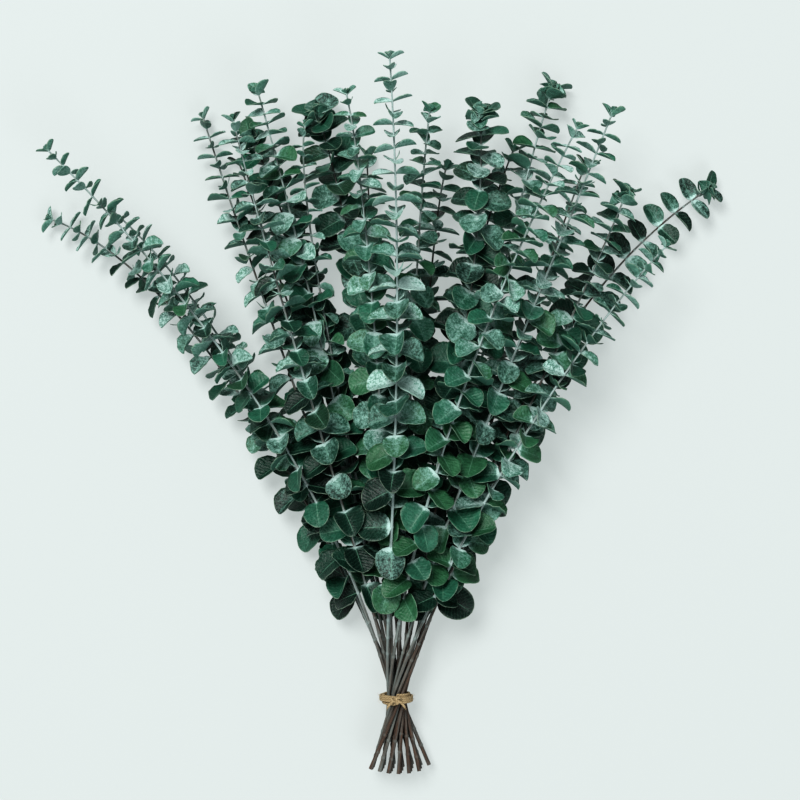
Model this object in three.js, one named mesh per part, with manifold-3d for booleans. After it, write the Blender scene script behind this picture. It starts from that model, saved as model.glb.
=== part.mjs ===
// A tied bunch of dried eucalyptus, lying on a table: leafy stems and the twine that holds them.
// Millimetres, +Z up. The bunch lies along Y with its tips towards +Y and its cut ends towards -Y.
import * as THREE from 'three';
import { mergeVertices } from 'three/addons/utils/BufferGeometryUtils.js';
import Module from 'manifold-3d';

const wasm = await Module();
wasm.setup();

// ---- driving dimensions -------------------------------------------------------------------
const TIE_HEIGHT = 20.7; // middle of the tied neck above the table
const STEM_PITCH = 3.1; // from stem to stem where they cross in the tie
const LAYER_PITCH = (STEM_PITCH * Math.sqrt(3)) / 2;
const TWIST_LENGTH = 22; // a stem leans by its place in the neck over this length
const STRAIGHT_LENGTH = 70; // how far a stem keeps that lean above the tie
const CUT_LENGTH = 54; // bare ends below the tie
const CUT_RADIUS = 1.55; // stem at its cut end
const TIE_RADIUS = 1.32; // stem in the tie
const TIP_RADIUS = 0.6; // stem at its tip
const STEM_SIDES = 4; // young stems are square, and carry their leaves on the flat sides
const CURVE_DIVISIONS = 200; // for lengths along a stem's curve
const BARE_SECTIONS = [-CUT_LENGTH, 0, 38]; // sections of the bare stem, measured from the tie

const TOP_PAIR_DROP = 1.5; // from the tip to the topmost pair of leaves
const FIRST_GAP = 7; // between the two topmost pairs
const LAST_GAP = 16; // between the lowest pairs
const GAP_REACH = 400; // length over which the gaps grow
const BARE_LENGTH = 74; // stripped stem above the tie
const PAIR_STEP = 3; // every third pair is modelled
const FLAT_STEP = 2; // a flat stem has lost its crossing pairs, and the rest are modelled
const FULL_LEAF_LENGTH = 23.5; // lowest leaves, from the stem's axis to their ends
const LEAF_GROWTH_POWER = 0.42;
const TIP_LEAF_WIDTH = 0.6; // width of a young leaf as a share of its length, where it is short
const LONG_TIP_LEAF_WIDTH = 0.86; // and where it is long
const SHORT_YOUNG_LEAF = 9;
const LONG_YOUNG_LEAF = 16;
const FULL_LEAF_WIDTH = 0.94; // width of a grown leaf as a share of its length
const FULL_WIDTH_REACH = 240; // distance from the tip where leaves are fully round
const YOUNG_REACH = 14; // above this the leaves still fold up round the tip
const LEAF_TILT = 5; // degrees towards the tip
const YOUNG_TILT = 34; // added to the tilt of the leaves at the tip
const LEAF_DROOP = 14; // taken from the tilt of the oldest leaves, which hang back
const DROOP_REACH = 300; // length over which the leaves come to hang and to face up
const FACING_GAIN = 24; // degrees by which the oldest leaves face up more than the youngest
const TILT_SPREAD = 30; // range of the tilts in degrees
const ROLL_SPREAD = 46; // range of the rolls in degrees
const PAIR_TURN_SPREAD = 16; // range of the turns of whole pairs in degrees
const PAIR_LEAN_SPREAD = 26; // range in degrees by which one leaf of a pair rises and the other sinks
const LENGTH_SPREAD = 0.12; // how far lengths differ from the rule, as a share
const WIDTH_SPREAD = 0.07; // and widths
const LEAF_THICKNESS = 0.7;
const ROOT_THICKNESS = 0.8; // of a leaf where it meets the stem
const LEAF_CUP = 0.14; // rise of a leaf's sides as a share of its length
const CLEARANCE = 0.3; // kept between pieces that don't touch
const TABLE_PRESS = 2.4; // the deepest that a leaf is pressed flat by the table
const LEAST_PRESS = 0.25; // a leaf that touches the table is flattened at least this far
const TABLE_BLOCK = [1200, 1200, 40];

const TWINE_DIAMETER = 2;
const TWINE_TURNS = 3;
const TWINE_SEGMENTS = 16;
const NECK_HALF_WIDTH = 10.2; // inside of the twine, across the bunch
const NECK_HALF_HEIGHT = 12.7; // inside of the twine, up from the table
const KNOT_SIZE = [4.2, 3.2, 2.4]; // half length, half width and half height
const TWINE_END = 7; // short cut end of the twine at the knot

const TONES = { deep: 0x2c4a41, mid: 0x41655a, frosted: 0x7b9489, twine: 0xb8a07a };
const LEAF_ROUGHNESS = 0.62;
const TWINE_ROUGHNESS = 0.9;

// One leafy stem an entry. layer and row give its place in the neck: a higher layer rises more
// above the table, and a higher row leans more to the right. bend is the point that its curve is
// drawn towards and tip is where it ends, measured from the middle of the tie on the table. leaf
// scales its leaves, turn is how far its pairs are turned round the stem and facing how far its
// young leaves turn their upper sides away from the table, both in degrees, and young is the
// length of its youngest leaves. A flat stem keeps only the pairs that lie in one plane.
const STEMS = [
  { name: 'left_high', layer: 2, row: -4, bend: [-62, 206, 92], tip: [-246, 388, 64],
    leaf: 0.9, turn: 15, facing: 4, young: 8, tone: 'mid' },
  { name: 'left_low', layer: 0, row: -6, bend: [-134, 302, 24], tip: [-252, 344, 10],
    leaf: 0.95, turn: -20, facing: 14, young: 10, tone: 'deep' },
  { name: 'left_middle', layer: 1, row: -5, bend: [-106, 263, 56], tip: [-203, 347, 40],
    leaf: 0.92, turn: 30, facing: 5, young: 8, tone: 'mid' },
  { name: 'outer_left', layer: 0, row: -4, bend: [-99, 283, 30], tip: [-142, 417, 12],
    leaf: 0.92, turn: 5, facing: 8, young: 9, tone: 'deep' },
  { name: 'tall_left_front', layer: 2, row: -2, bend: [-66, 214, 96], tip: [-116, 408, 72],
    leaf: 1, turn: -11, facing: 6, young: 9, tone: 'deep' },
  { name: 'tall_left', layer: 1, row: -3, bend: [-57, 281, 62], tip: [-100, 430, 46],
    leaf: 1.1, turn: 42, facing: 22, young: 12, tone: 'mid' },
  { name: 'left_back', layer: 0, row: -2, bend: [-74, 352, 34], tip: [-108, 402, 18],
    leaf: 1, turn: -30, facing: 36, young: 15, tone: 'deep' },
  { name: 'thin_twig', layer: 1, row: -1, bend: [-79, 350, 60], tip: [-67, 408, 42],
    leaf: 0.75, turn: 30, facing: 5, young: 7, tone: 'mid' },
  { name: 'dark_tip', layer: 0, row: 0, bend: [-27, 331, 36], tip: [-60, 420, 22],
    leaf: 1.15, turn: -15, facing: 42, young: 18, tone: 'deep' },
  { name: 'centre_left', layer: 2, row: 0, bend: [-17, 334, 94], tip: [-37, 425, 84],
    leaf: 1.05, turn: 10, facing: 24, young: 8, tone: 'mid' },
  { name: 'centre_front', layer: 3, row: -1, bend: [7, 226, 128], tip: [-7, 446, 108],
    leaf: 1.02, turn: 0, facing: 8, young: 9, tone: 'frosted' },
  { name: 'centre_right', layer: 1, row: 1, bend: [10, 338, 60], tip: [21, 417, 50],
    leaf: 1.08, turn: -40, facing: 22, young: 10, tone: 'mid' },
  { name: 'low_right', layer: 0, row: 2, bend: [16, 311, 36], tip: [33, 380, 16],
    leaf: 0.95, turn: -5, facing: 24, young: 12, tone: 'deep' },
  { name: 'dense_right', layer: 1, row: 3, bend: [64, 301, 58], tip: [56, 415, 58],
    leaf: 1.1, turn: 20, facing: 34, young: 17, tone: 'deep' },
  { name: 'tall_right_back', layer: 0, row: 4, bend: [82, 360, 34], tip: [110, 438, 16],
    leaf: 0.98, turn: -25, facing: 14, young: 14, tone: 'mid' },
  { name: 'tall_right_front', layer: 3, row: 1, bend: [31, 228, 122], tip: [122, 401, 88],
    leaf: 1.02, turn: 40, facing: 12, young: 9, tone: 'mid' },
  { name: 'tall_right', layer: 2, row: 2, bend: [99, 292, 92], tip: [148, 413, 60],
    leaf: 1, turn: 5, facing: 12, young: 10, tone: 'mid' },
  { name: 'right_middle', layer: 1, row: 5, bend: [128, 281, 66], tip: [160, 360, 44],
    leaf: 0.95, turn: -35, facing: 22, young: 14, tone: 'deep' },
  { name: 'far_right', layer: 0, row: 6, bend: [82, 275, 22], tip: [223, 366, 14],
    leaf: 1.15, turn: 5, facing: 56, young: 13, tone: 'deep', flat: true },
  { name: 'right_front', layer: 2, row: 4, bend: [103, 236, 90], tip: [186, 321, 62],
    leaf: 0.95, turn: -15, facing: 4, young: 9, tone: 'mid' },
  { name: 'under_left', layer: -1, row: -3, bend: [-76, 276, 12], tip: [-116, 384, 8],
    leaf: 1, turn: -22, facing: 10, young: 10, tone: 'deep' },
  { name: 'under_centre', layer: -1, row: -1, bend: [-20, 290, 12], tip: [-24, 390, 8],
    leaf: 1, turn: 30, facing: 10, young: 10, tone: 'deep' },
  { name: 'under_right', layer: -1, row: 1, bend: [34, 280, 12], tip: [82, 394, 8],
    leaf: 1, turn: -20, facing: 10, young: 10, tone: 'deep' },
  { name: 'under_far_right', layer: -1, row: 3, bend: [92, 270, 12], tip: [134, 384, 8],
    leaf: 1, turn: 10, facing: 10, young: 10, tone: 'deep' },
];

// Outline of a leaf from one side of its root to the other: distance along and sideways place,
// as shares of its length and width.
const LEAF_OUTLINE = [
  [0.17, -0.38],
  [0.66, -0.5],
  [1, 0],
  [0.66, 0.5],
  [0.17, 0.38],
];
const LEAF_END = 2; // the outline's point at the leaf's end

// What is changed, in this order, until a leaf lies clear of other stems: degrees of tilt
// towards the tip, turn round the stem and roll about the leaf's own length.
const EASINGS = [
  [0, 0, 0], [0, 0, 25], [0, 0, -25], [16, 0, 0], [-16, 0, 0], [0, 22, 0], [0, -22, 0],
  [25, 15, 20], [25, -15, -20], [12, 40, 0], [12, -40, 0], [42, 0, 0], [42, 25, 25],
  [42, -25, -25], [58, 12, 0], [58, -12, 0], [66, 45, 0], [66, -45, 0],
];

// ---- small tools --------------------------------------------------------------------------
const radians = (degrees) => (degrees * Math.PI) / 180;
const mix = (from, to, share) => from + (to - from) * share;
const clamp01 = (value) => Math.min(1, Math.max(0, value));
const spread = (draw, share) => mix(1 - share, 1 + share, draw);

// Repeatable draws between 0 and 1 for one leaf.
function seededDraws(seed) {
  let state = seed >>> 0;
  return () => {
    state = (state + 0x6d2b79f5) >>> 0;
    let mixed = Math.imul(state ^ (state >>> 15), 1 | state);
    mixed = (mixed + Math.imul(mixed ^ (mixed >>> 7), 61 | mixed)) ^ mixed;
    return ((mixed ^ (mixed >>> 14)) >>> 0) / 4294967296;
  };
}

function solidOf(geometry) {
  const plain = geometry.clone();
  plain.deleteAttribute('normal');
  plain.deleteAttribute('uv');
  const merged = mergeVertices(plain);
  return new wasm.Manifold(new wasm.Mesh({
    numProp: 3,
    vertProperties: new Float32Array(merged.attributes.position.array),
    triVerts: new Uint32Array(merged.index.array),
  }));
}

function meshOf(solid, name, tone, roughness) {
  const { vertProperties, triVerts } = solid.getMesh();
  const geometry = new THREE.BufferGeometry();
  geometry.setAttribute('position', new THREE.BufferAttribute(vertProperties, 3));
  geometry.setIndex(new THREE.BufferAttribute(triVerts, 1));
  const material = new THREE.MeshStandardMaterial({
    color: TONES[tone], roughness, metalness: 0, flatShading: true,
  });
  const mesh = new THREE.Mesh(geometry, material);
  mesh.name = name;
  return mesh;
}

// ---- the stems' paths ---------------------------------------------------------------------
// A stem runs straight through the neck, where its lean follows from its place there, so that
// no two stems meet, and then along one curve to its tip.
function stemPath(stem) {
  const across = -stem.layer * LAYER_PITCH;
  const up = (stem.row * STEM_PITCH) / 2;
  const neck = new THREE.Vector3(across, 0, TIE_HEIGHT + up);
  const lean = new THREE.Vector3(up / TWIST_LENGTH, 1, -across / TWIST_LENGTH);
  const curve = new THREE.CubicBezierCurve3(
    neck,
    neck.clone().addScaledVector(lean, STRAIGHT_LENGTH),
    new THREE.Vector3(...stem.bend),
    new THREE.Vector3(...stem.tip),
  );
  curve.arcLengthDivisions = CURVE_DIVISIONS;
  return { neck, lean: lean.clone().normalize(), curve, length: curve.getLength() };
}

// Axis point and directions at a distance above the tie: along the stem, sideways and upwards.
function stemFrame(path, distance) {
  const share = clamp01(distance / path.length);
  const above = distance > 0;
  const point = above
    ? path.curve.getPointAt(share)
    : path.neck.clone().addScaledVector(path.lean, distance);
  const along = above ? path.curve.getTangentAt(share) : path.lean.clone();
  const side = along.clone().cross(new THREE.Vector3(0, 0, 1)).normalize();
  const up = side.clone().cross(along);
  return { point, along, side, up };
}

function stemRadius(path, distance) {
  return distance < 0
    ? mix(TIE_RADIUS, CUT_RADIUS, -distance / CUT_LENGTH)
    : mix(TIE_RADIUS, TIP_RADIUS, distance / path.length);
}

// The four corners of a stem at a distance above the tie, with its sides turned by some degrees.
function stemRing(path, distance, turn) {
  const { point, side, up } = stemFrame(path, distance);
  const radius = stemRadius(path, distance);
  return Array.from({ length: STEM_SIDES }, (_, corner) => {
    const angle = radians(turn + (360 / STEM_SIDES) * (corner - 0.5));
    const place = point.clone().addScaledVector(side, Math.cos(angle) * radius);
    return place.addScaledVector(up, Math.sin(angle) * radius);
  });
}

// ---- the leaves ---------------------------------------------------------------------------
// Distances of a stem's pairs below its tip. The pairs draw apart down the stem.
function pairDistances(path) {
  const distances = [];
  let fromTip = TOP_PAIR_DROP;
  while (fromTip < path.length - BARE_LENGTH) {
    distances.push(fromTip);
    fromTip += mix(FIRST_GAP, LAST_GAP, clamp01(fromTip / GAP_REACH));
  }
  return distances;
}

const modelledPairs = (stem, path) => pairDistances(path)
  .map((fromTip, pair) => ({ pair, fromTip }))
  .filter(({ pair }) => pair % (stem.flat ? FLAT_STEP : PAIR_STEP) === 0);

// Turn of a whole pair, with the flat sides that it grows from, and its lean to one side.
function pairPose(stemIndex, pair) {
  const draw = seededDraws(stemIndex * 1009 + pair);
  const turn = STEMS[stemIndex].turn + (draw() - 0.5) * PAIR_TURN_SPREAD;
  return { turn, lean: (draw() - 0.5) * PAIR_LEAN_SPREAD };
}

// The flat side that a leaf grows from. Each pair crosses the next.
const sideOf = (pair, twin) => (pair + twin * 2) % STEM_SIDES;

// The pose and size of one leaf of a pair, with its random draws and one easing.
function leafPose(stemIndex, path, pair, twin, fromTip, easing) {
  const stem = STEMS[stemIndex];
  const draw = seededDraws(stemIndex * 1009 + pair * 17 + twin * 7 + 3);
  const [easeTilt, easeTurn, easeRoll] = easing;
  const young = 1 - clamp01(fromTip / YOUNG_REACH);
  const old = clamp01((fromTip - YOUNG_REACH) / DROOP_REACH);
  const { turn: ownTurn, lean } = pairPose(stemIndex, pair);
  const turn = ownTurn + (360 / STEM_SIDES) * sideOf(pair, twin) + easeTurn;
  const facing = stem.facing + old * FACING_GAIN;
  const ownTilt = LEAF_TILT + young * YOUNG_TILT - old * LEAF_DROOP + (draw() - 0.5) * TILT_SPREAD;
  const rise = ownTilt + (twin === 0 ? lean : -lean) + easeTilt;
  const tilt = rise - facing * Math.sin(radians(turn));
  const roll = (draw() - 0.5) * ROLL_SPREAD + facing * Math.cos(radians(turn)) + easeRoll;
  const grown = (fromTip / GAP_REACH) ** LEAF_GROWTH_POWER;
  const ownLength = mix(stem.young, FULL_LEAF_LENGTH * stem.leaf, grown);
  const length = ownLength * spread(draw(), LENGTH_SPREAD);
  const longer = clamp01((stem.young - SHORT_YOUNG_LEAF) / (LONG_YOUNG_LEAF - SHORT_YOUNG_LEAF));
  const tipWidth = mix(TIP_LEAF_WIDTH, LONG_TIP_LEAF_WIDTH, longer);
  const roundness = mix(tipWidth, FULL_LEAF_WIDTH, clamp01(fromTip / FULL_WIDTH_REACH));
  const width = length * roundness * spread(draw(), WIDTH_SPREAD);
  const { point, along, side, up } = stemFrame(path, path.length - fromTip);
  const out = side.clone().multiplyScalar(Math.cos(radians(turn)));
  out.addScaledVector(up, Math.sin(radians(turn)));
  const flat = along.clone().cross(out);
  const reach = out.clone().multiplyScalar(Math.cos(radians(tilt)));
  reach.addScaledVector(along, Math.sin(radians(tilt)));
  const face = reach.clone().cross(flat);
  const across = flat.clone().multiplyScalar(Math.cos(radians(roll)));
  across.addScaledVector(face, Math.sin(radians(roll)));
  const normal = reach.clone().cross(across);
  return { root: point, reach, across, normal, length, width };
}

// Points of a leaf's outline, raised at the sides and shifted off its middle surface.
function leafPoints(pose, offset, margin) {
  return LEAF_OUTLINE.map(([along, half]) => {
    const rise = pose.length * LEAF_CUP * (2 * half) ** 2;
    const point = pose.root.clone();
    point.addScaledVector(pose.reach, along * pose.length + margin);
    point.addScaledVector(pose.across, half * pose.width + Math.sign(half) * margin);
    return point.addScaledVector(pose.normal, rise + offset);
  });
}

// The faces between two like outlines, an upper and a lower one, that run from one side of the
// leaf's root to the other. Both are split alike, from the leaf's end.
function bladeFaces(upper, lower, endPoint) {
  const faces = [];
  for (let i = 1; i < upper.length - 1; i += 1) {
    const first = (endPoint + i) % upper.length;
    const second = (first + 1) % upper.length;
    faces.push([upper[endPoint], upper[first], upper[second]]);
    faces.push([lower[endPoint], lower[second], lower[first]]);
  }
  for (let i = 0; i < upper.length - 1; i += 1) {
    faces.push([lower[i], lower[i + 1], upper[i + 1]], [lower[i], upper[i + 1], upper[i]]);
  }
  return faces;
}

function geometryOf(faces) {
  const geometry = new THREE.BufferGeometry();
  const numbers = faces.flat().flatMap((point) => point.toArray());
  geometry.setAttribute('position', new THREE.Float32BufferAttribute(numbers, 3));
  geometry.computeBoundingBox();
  return geometry;
}

// A leaf on its own, closed at its root, to test its place with.
function looseLeaf(pose, thickness, margin) {
  const rootHalf = TIE_RADIUS / Math.SQRT2 + margin;
  const [upper, lower] = [thickness / 2, -thickness / 2].map((offset) => {
    const root = pose.root.clone().addScaledVector(pose.normal, offset);
    const left = root.clone().addScaledVector(pose.across, -rootHalf);
    const right = root.clone().addScaledVector(pose.across, rootHalf);
    return [left, ...leafPoints(pose, offset, margin), right];
  });
  const last = upper.length - 1;
  const closing = [[lower[last], lower[0], upper[0]], [lower[last], upper[0], upper[last]]];
  return geometryOf([...bladeFaces(upper, lower, LEAF_END + 1), ...closing]);
}

function touchesTableWell(box) {
  const lowest = box.min.z;
  return lowest > CLEARANCE || (lowest < -LEAST_PRESS && lowest > -TABLE_PRESS);
}

function isClear(probeBox, probe, pieces, ownStem, ownPair) {
  return pieces.every((piece) => {
    const own = piece.stem === ownStem && (piece.pair === undefined || piece.pair === ownPair);
    if (own || !piece.box.intersectsBox(probeBox)) return true;
    return probe.intersect(piece.solid).isEmpty();
  });
}

// One leaf of a pair, eased until it lies clear of all that is placed, or nothing.
function placeLeaf(stem, path, pair, twin, fromTip, pieces) {
  for (const easing of EASINGS) {
    const pose = leafPose(stem, path, pair, twin, fromTip, easing);
    const leaf = looseLeaf(pose, LEAF_THICKNESS, 0);
    const probe = looseLeaf(pose, LEAF_THICKNESS + 2 * CLEARANCE, CLEARANCE);
    const fits = touchesTableWell(leaf.boundingBox);
    if (fits && isClear(probe.boundingBox, solidOf(probe), pieces, stem, pair)) {
      return { stem, pair, twin, fromTip, pose, box: leaf.boundingBox, solid: solidOf(leaf) };
    }
  }
  return null;
}

// A stem's sections from its cut end to its tip: two close ones, the root's thickness apart,
// where it carries leaves, and single ones elsewhere.
function stemSections(stem, stemIndex, path, leaves) {
  const sections = BARE_SECTIONS.map((distance) => ({ ring: stemRing(path, distance, 0) }));
  modelledPairs(stem, path).reverse().forEach(({ pair, fromTip }) => {
    const own = leaves.filter((leaf) => leaf.pair === pair);
    const { turn } = pairPose(stemIndex, pair);
    const middle = path.length - fromTip;
    const half = own.length > 0 ? ROOT_THICKNESS / 2 : 0;
    sections.push({ ring: stemRing(path, middle - half, turn), pair, own });
    if (half > 0) sections.push({ ring: stemRing(path, middle + half, turn) });
  });
  sections.push({ ring: stemRing(path, path.length, stem.turn) });
  return sections;
}

// A stem and its leaves as one closed skin: each leaf grows out of one flat side of the stem.
function leafyStem(stem, stemIndex, path, leaves) {
  const sections = stemSections(stem, stemIndex, path, leaves);
  const faces = [];
  const [a, b, c, d] = sections[0].ring;
  faces.push([a, b, c], [a, c, d]);
  for (let i = 0; i < sections.length - 1; i += 1) {
    const { ring: low, pair, own } = sections[i];
    const high = sections[i + 1].ring;
    for (let sideFace = 0; sideFace < STEM_SIDES; sideFace += 1) {
      const next = (sideFace + 1) % STEM_SIDES;
      const leaf = own?.find(({ twin }) => sideOf(pair, twin) === sideFace);
      if (leaf) {
        const upper = [high[next], ...leafPoints(leaf.pose, LEAF_THICKNESS / 2, 0), high[sideFace]];
        const lower = [low[next], ...leafPoints(leaf.pose, -LEAF_THICKNESS / 2, 0), low[sideFace]];
        faces.push(...bladeFaces(upper, lower, LEAF_END + 1));
      } else {
        faces.push([low[sideFace], high[sideFace], high[next]], [low[sideFace], high[next], low[next]]);
      }
    }
  }
  const [e, f, g, h] = sections.at(-1).ring;
  faces.push([e, g, f], [e, h, g]);
  return solidOf(geometryOf(faces));
}

// All leafy stems: the leaves are placed pair by pair from the tips down, clear of the stems.
function leafyStems() {
  const paths = STEMS.map(stemPath);
  const pieces = STEMS.map((stem, index) => {
    const solid = leafyStem(stem, index, paths[index], []);
    const { min, max } = solid.boundingBox();
    const box = new THREE.Box3(new THREE.Vector3(...min), new THREE.Vector3(...max));
    return { stem: index, box, solid };
  });
  const pairs = paths.map((path, index) => modelledPairs(STEMS[index], path));
  const most = Math.max(...pairs.map((list) => list.length));
  for (let turn = 0; turn < most; turn += 1) {
    pairs.forEach((list, stem) => {
      const place = list[turn];
      [0, 1].forEach((twin) => {
        const leaf = place && placeLeaf(stem, paths[stem], place.pair, twin, place.fromTip, pieces);
        if (leaf) pieces.push(leaf);
      });
    });
  }
  const table = solidOf(new THREE.BoxGeometry(...TABLE_BLOCK).translate(0, 0, -TABLE_BLOCK[2] / 2));
  return STEMS.map((stem, index) => {
    const leaves = pieces.filter((piece) => piece.stem === index && piece.pose);
    const grown = leafyStem(stem, index, paths[index], leaves);
    const lowest = grown.boundingBox().min[2];
    const lying = lowest < 0 ? grown.subtract(table) : grown;
    return meshOf(lying, `stem_${stem.name}`, stem.tone, LEAF_ROUGHNESS);
  });
}

// ---- the tie ------------------------------------------------------------------------------
// Turns of twine side by side round the oval neck, with a knot on top and two short ends.
function twineTie() {
  const half = (TWINE_TURNS * TWINE_DIAMETER) / 2;
  const bumps = [];
  for (let turn = 0; turn < TWINE_TURNS; turn += 1) {
    const start = -half + turn * TWINE_DIAMETER;
    bumps.push([0.62, start], [1, start + TWINE_DIAMETER * 0.3], [1, start + TWINE_DIAMETER * 0.7]);
  }
  bumps.push([0.62, half]);
  const profile = [
    new THREE.Vector2(NECK_HALF_WIDTH, half),
    new THREE.Vector2(NECK_HALF_WIDTH, -half),
    ...bumps.map(([depth, y]) => new THREE.Vector2(NECK_HALF_WIDTH + depth * TWINE_DIAMETER, y)),
    new THREE.Vector2(NECK_HALF_WIDTH, half),
  ];
  const ring = new THREE.LatheGeometry(profile, TWINE_SEGMENTS);
  ring.scale(1, 1, (NECK_HALF_HEIGHT + TWINE_DIAMETER) / (NECK_HALF_WIDTH + TWINE_DIAMETER));
  const top = NECK_HALF_HEIGHT + TWINE_DIAMETER;
  const knot = new THREE.SphereGeometry(1, 8, 6).scale(...KNOT_SIZE).translate(0, 0, top);
  const ends = [-1, 1].map((way) => twineEnd(way, top));
  const tie = [knot, ...ends].reduce((whole, piece) => whole.add(solidOf(piece)), solidOf(ring));
  const mesh = meshOf(tie, 'tie', 'twine', TWINE_ROUGHNESS);
  mesh.position.set(-LAYER_PITCH, 0, TIE_HEIGHT);
  return mesh;
}

function twineEnd(way, top) {
  const curve = new THREE.QuadraticBezierCurve3(
    new THREE.Vector3(way, 0, top + 0.6),
    new THREE.Vector3(way * TWINE_END * 0.7, -2, top + 2.4),
    new THREE.Vector3(way * TWINE_END, -TWINE_END * 0.8, top + 1.2),
  );
  const section = new THREE.Shape();
  section.absarc(0, 0, TWINE_DIAMETER / 2, 0, 2 * Math.PI);
  return new THREE.ExtrudeGeometry(section, { extrudePath: curve, steps: 4, curveSegments: 6 });
}

// ---- the bunch ----------------------------------------------------------------------------
// Its origin is on the table, under the middle of its outer box.
const bunch = new THREE.Group();
bunch.add(...leafyStems(), twineTie());
const outerBox = new THREE.Box3().setFromObject(bunch, true);
const middle = outerBox.getCenter(new THREE.Vector3());
bunch.position.set(-middle.x, -middle.y, 0);

export default bunch;
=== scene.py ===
"""Dresses a tied bunch of dried eucalyptus that lies on a pale table.

Sizes in the tables are millimetres, and every mesh is in metres, +Z up. The bunch lies along Y,
with its tips towards +Y. The stems and leaves follow the same rules as the solids they replace.
"""

import logging
import math
from collections.abc import Iterator
from dataclasses import dataclass, field, replace
from enum import Enum

import bpy
import numpy as np
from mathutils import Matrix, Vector
from mathutils.bvhtree import BVHTree


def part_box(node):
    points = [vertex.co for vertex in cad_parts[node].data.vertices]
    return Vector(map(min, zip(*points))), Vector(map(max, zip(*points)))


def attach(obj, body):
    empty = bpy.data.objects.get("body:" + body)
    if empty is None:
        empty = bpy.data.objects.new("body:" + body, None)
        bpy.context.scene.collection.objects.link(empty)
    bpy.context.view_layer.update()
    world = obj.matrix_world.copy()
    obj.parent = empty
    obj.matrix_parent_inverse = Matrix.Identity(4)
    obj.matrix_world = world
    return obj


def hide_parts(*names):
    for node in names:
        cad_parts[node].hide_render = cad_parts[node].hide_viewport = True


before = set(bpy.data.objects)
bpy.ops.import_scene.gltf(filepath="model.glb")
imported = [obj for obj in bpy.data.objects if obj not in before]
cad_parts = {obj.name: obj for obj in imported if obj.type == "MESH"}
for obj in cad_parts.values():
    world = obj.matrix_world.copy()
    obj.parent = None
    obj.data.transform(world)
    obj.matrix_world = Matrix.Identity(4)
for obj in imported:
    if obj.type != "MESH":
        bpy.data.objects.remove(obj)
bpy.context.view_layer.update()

LOG = logging.getLogger("bunch")
MM = 0.001
Colour = tuple[float, float, float]
Point = tuple[float, float, float]
Range = tuple[float, float]
Face = tuple[int, ...]


class Tone(Enum):
    """The tone of a stem's leaves as the plan lists it; only DEEP is read here, for darker bark with less
    wax.
    """

    DEEP = "leaf_deep"
    MID = "leaf_mid"
    FROSTED = "leaf_frosted"


class Blend(Enum):
    """How one colour is laid over another."""

    PLAIN = "MIX"
    DARKEN = "MULTIPLY"


# ---- numbers and curves -------------------------------------------------------------------
def mix(low: float, high: float, share: float) -> float:
    """The value a share of the way from low to high."""
    return low + (high - low) * share


def clamp01(value: float) -> float:
    """The value, kept between 0 and 1."""
    return min(1.0, max(0.0, value))


def unit(vectors: np.ndarray) -> np.ndarray:
    """Vectors of length 1 that point the same way."""
    return vectors / np.linalg.norm(vectors, axis=-1, keepdims=True)


def seeded_draws(seed: int) -> Iterator[float]:
    """Repeatable draws between 0 and 1.

    Args:
        seed: A whole number. Each seed gives a row of draws of its own.

    Returns:
        An endless iterator of draws.
    """
    whole, step = 0xFFFFFFFF, 0x6D2B79F5
    state = seed & whole
    while True:
        state = (state + step) & whole
        mixed = ((state ^ (state >> 15)) * (1 | state)) & whole
        more = ((mixed ^ (mixed >> 7)) * (61 | mixed)) & whole
        mixed = ((mixed + more) & whole) ^ mixed
        yield ((mixed ^ (mixed >> 14)) & whole) / (whole + 1)


# ---- the plan of the bunch ----------------------------------------------------------------
@dataclass(frozen=True)
class NeckForm:
    """How the stems cross in the tie, in millimetres."""

    height: float = 20.7
    pitch: float = 3.1
    twist_length: float = 22.0
    straight_length: float = 70.0
    cut_length: float = 54.0
    cut_radius: float = 1.55
    tie_radius: float = 1.32
    tip_radius: float = 0.6
    half_width: float = 10.2
    half_height: float = 12.7
    twine: float = 2.0
    knot_half_width: float = 3.2

    @property
    def layer_pitch(self) -> float:
        """Distance between the layers of stems in the tie."""
        return self.pitch * math.sqrt(3) / 2


@dataclass(frozen=True)
class StemPlan:
    """One leafy stem.

    A higher layer rises more above the table and a higher row leans more to the right. The curve
    is drawn towards bend and ends at tip, in millimetres from the middle of the tie on the table.
    leaf scales the leaves, turn is the pairs' turn round the stem in degrees, facing is how far
    young leaves turn their upper sides away from the table in degrees, and young is the length of
    the youngest leaves. bloom is how much wax whitens the leaves and bark, and light is how light
    their green is. A flat stem keeps only the pairs that lie in one plane.
    """

    name: str
    layer: int
    row: int
    bend: Point
    tip: Point
    leaf: float
    turn: float
    facing: float
    young: float
    tone: Tone
    bloom: float
    light: float
    flat: bool = False


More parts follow.
